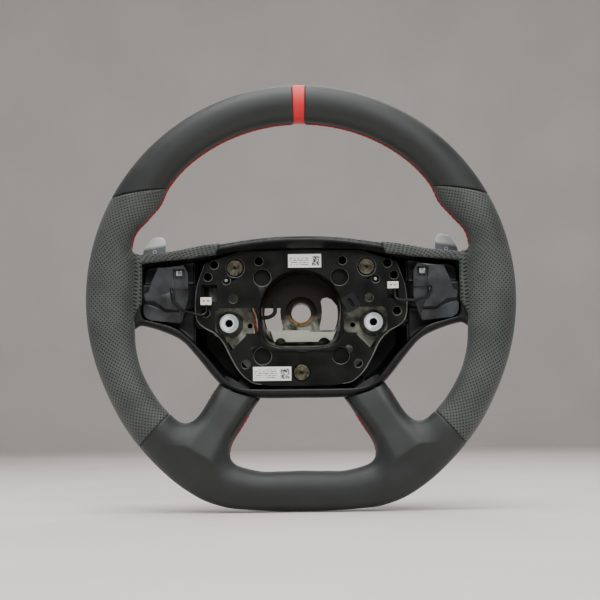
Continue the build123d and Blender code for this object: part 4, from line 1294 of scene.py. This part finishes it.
class WHEEL_OT_stage(bpy.types.Operator):
    """Floor and backdrop in one sweep, soft lights and the camera."""
    bl_idname = "wheel.stage"
    bl_label = "Stage"

    def execute(self, context):
        settings = context.scene.wheel_stage
        sweep_floor(pale_floor("pale_card", settings.floor_colour))
        soft_light("overhead_softbox", (-0.1, -0.3, 1.4), (0, -0.05, 0.0), 1.2, 38.0)
        soft_light("front_softbox", (0.25, -1.9, 1.3), (0, -0.05, 0.0), 0.9, 30.0)
        soft_light("back_softbox", (0.2, 1.2, 1.3), (0, 0.0, 0.05), 0.9, 12.0)
        world = bpy.data.worlds.new("soft_room")
        context.scene.world = world
        world.use_nodes = True
        background = world.node_tree.nodes["Background"]
        background.inputs["Color"].default_value = linear("#e9e7e4")
        background.inputs["Strength"].default_value = 0.22
        place_camera(settings)
        return {"FINISHED"}


def sweep_floor(material):
    """A floor that curves up into a wall behind: a straight run, a quarter circle and a straight rise."""
    ground, turn, far, wide = CAD_BOX[0][2] - 0.0005, 0.6, 2.2, 4.0
    arc = np.linspace(0, math.pi / 2, 24)
    y = np.concatenate([[-3.0], far + turn * np.sin(arc), [far + turn]])
    z = np.concatenate([[0.0], turn * (1 - np.cos(arc)), [4.0]]) + ground
    x = np.array([-wide, wide])
    points = np.stack([np.repeat(x[None], len(y), 0), np.repeat(y[:, None], 2, 1),
                       np.repeat(z[:, None], 2, 1)], -1)
    mesh = bpy.data.meshes.new("floor")
    mesh.from_pydata(points.reshape(-1, 3), [], grid_faces(len(y), 2, False).tolist())
    mesh.materials.append(material)
    mesh.shade_smooth()
    floor = bpy.data.objects.new("floor", mesh)
    bpy.context.scene.collection.objects.link(floor)


def soft_light(name, place, target, size, power):
    """A square softbox aimed at a point."""
    light = bpy.data.lights.new(name, "AREA")
    light.energy = power
    light.size = size
    lamp = bpy.data.objects.new(name, light)
    lamp.location = place
    lamp.rotation_euler = (Vector(target) - Vector(place)).to_track_quat("-Z", "Y").to_euler()
    bpy.context.scene.collection.objects.link(lamp)


def place_camera(settings):
    """The camera a little below the steering axis, looking at the wheel's middle."""
    camera = bpy.data.cameras.new("camera")
    camera.lens = camera.sensor_width * settings.distance / settings.framed
    target = Vector((-0.0009, RIM_MID_Y * MM, 0.0084))
    away = Vector((0, -math.cos(settings.below), -math.sin(settings.below)))
    view = bpy.data.objects.new("camera", camera)
    view.location = target + away * settings.distance
    view.rotation_euler = (-away).to_track_quat("-Z", "Y").to_euler()
    view.rotation_euler.rotate_axis("Z", math.radians(-0.7))
    bpy.context.scene.collection.objects.link(view)
    bpy.context.scene.camera = view


# ---------------------------------------------------------------- the add-on

class WHEEL_PT_panel(bpy.types.Panel):
    """Lists the wheel's operators."""
    bl_idname = "WHEEL_PT_panel"
    bl_label = "Steering wheel"
    bl_space_type = "VIEW_3D"
    bl_region_type = "UI"
    bl_category = "Steering wheel"

    def draw(self, context):
        for operator in OPERATORS:
            self.layout.operator(operator.bl_idname)


OPERATORS = (WHEEL_OT_rim_top, WHEEL_OT_rim_grips, WHEEL_OT_rim_bottom, WHEEL_OT_foam, WHEEL_OT_stitching,
             WHEEL_OT_hub_shell, WHEEL_OT_plate_edges, WHEEL_OT_wires, WHEEL_OT_rigid_parts, WHEEL_OT_springs,
             WHEEL_OT_stage)
SETTINGS = {"wheel_rim": RimSettings, "wheel_hub": HubSettings, "wheel_stage": StageSettings}


def register():
    for group in SETTINGS.values():
        bpy.utils.register_class(group)
    for name, group in SETTINGS.items():
        setattr(bpy.types.Scene, name, bpy.props.PointerProperty(type=group))
    for operator in (*OPERATORS, WHEEL_PT_panel):
        bpy.utils.register_class(operator)


def unregister():
    for operator in (*OPERATORS, WHEEL_PT_panel):
        bpy.utils.unregister_class(operator)
    for name, group in SETTINGS.items():
        delattr(bpy.types.Scene, name)
        bpy.utils.unregister_class(group)


def main():
    register()
    for operator in OPERATORS:
        group, name = operator.bl_idname.split(".")
        getattr(getattr(bpy.ops, group), name)()


if __name__ == "__main__":
    main()
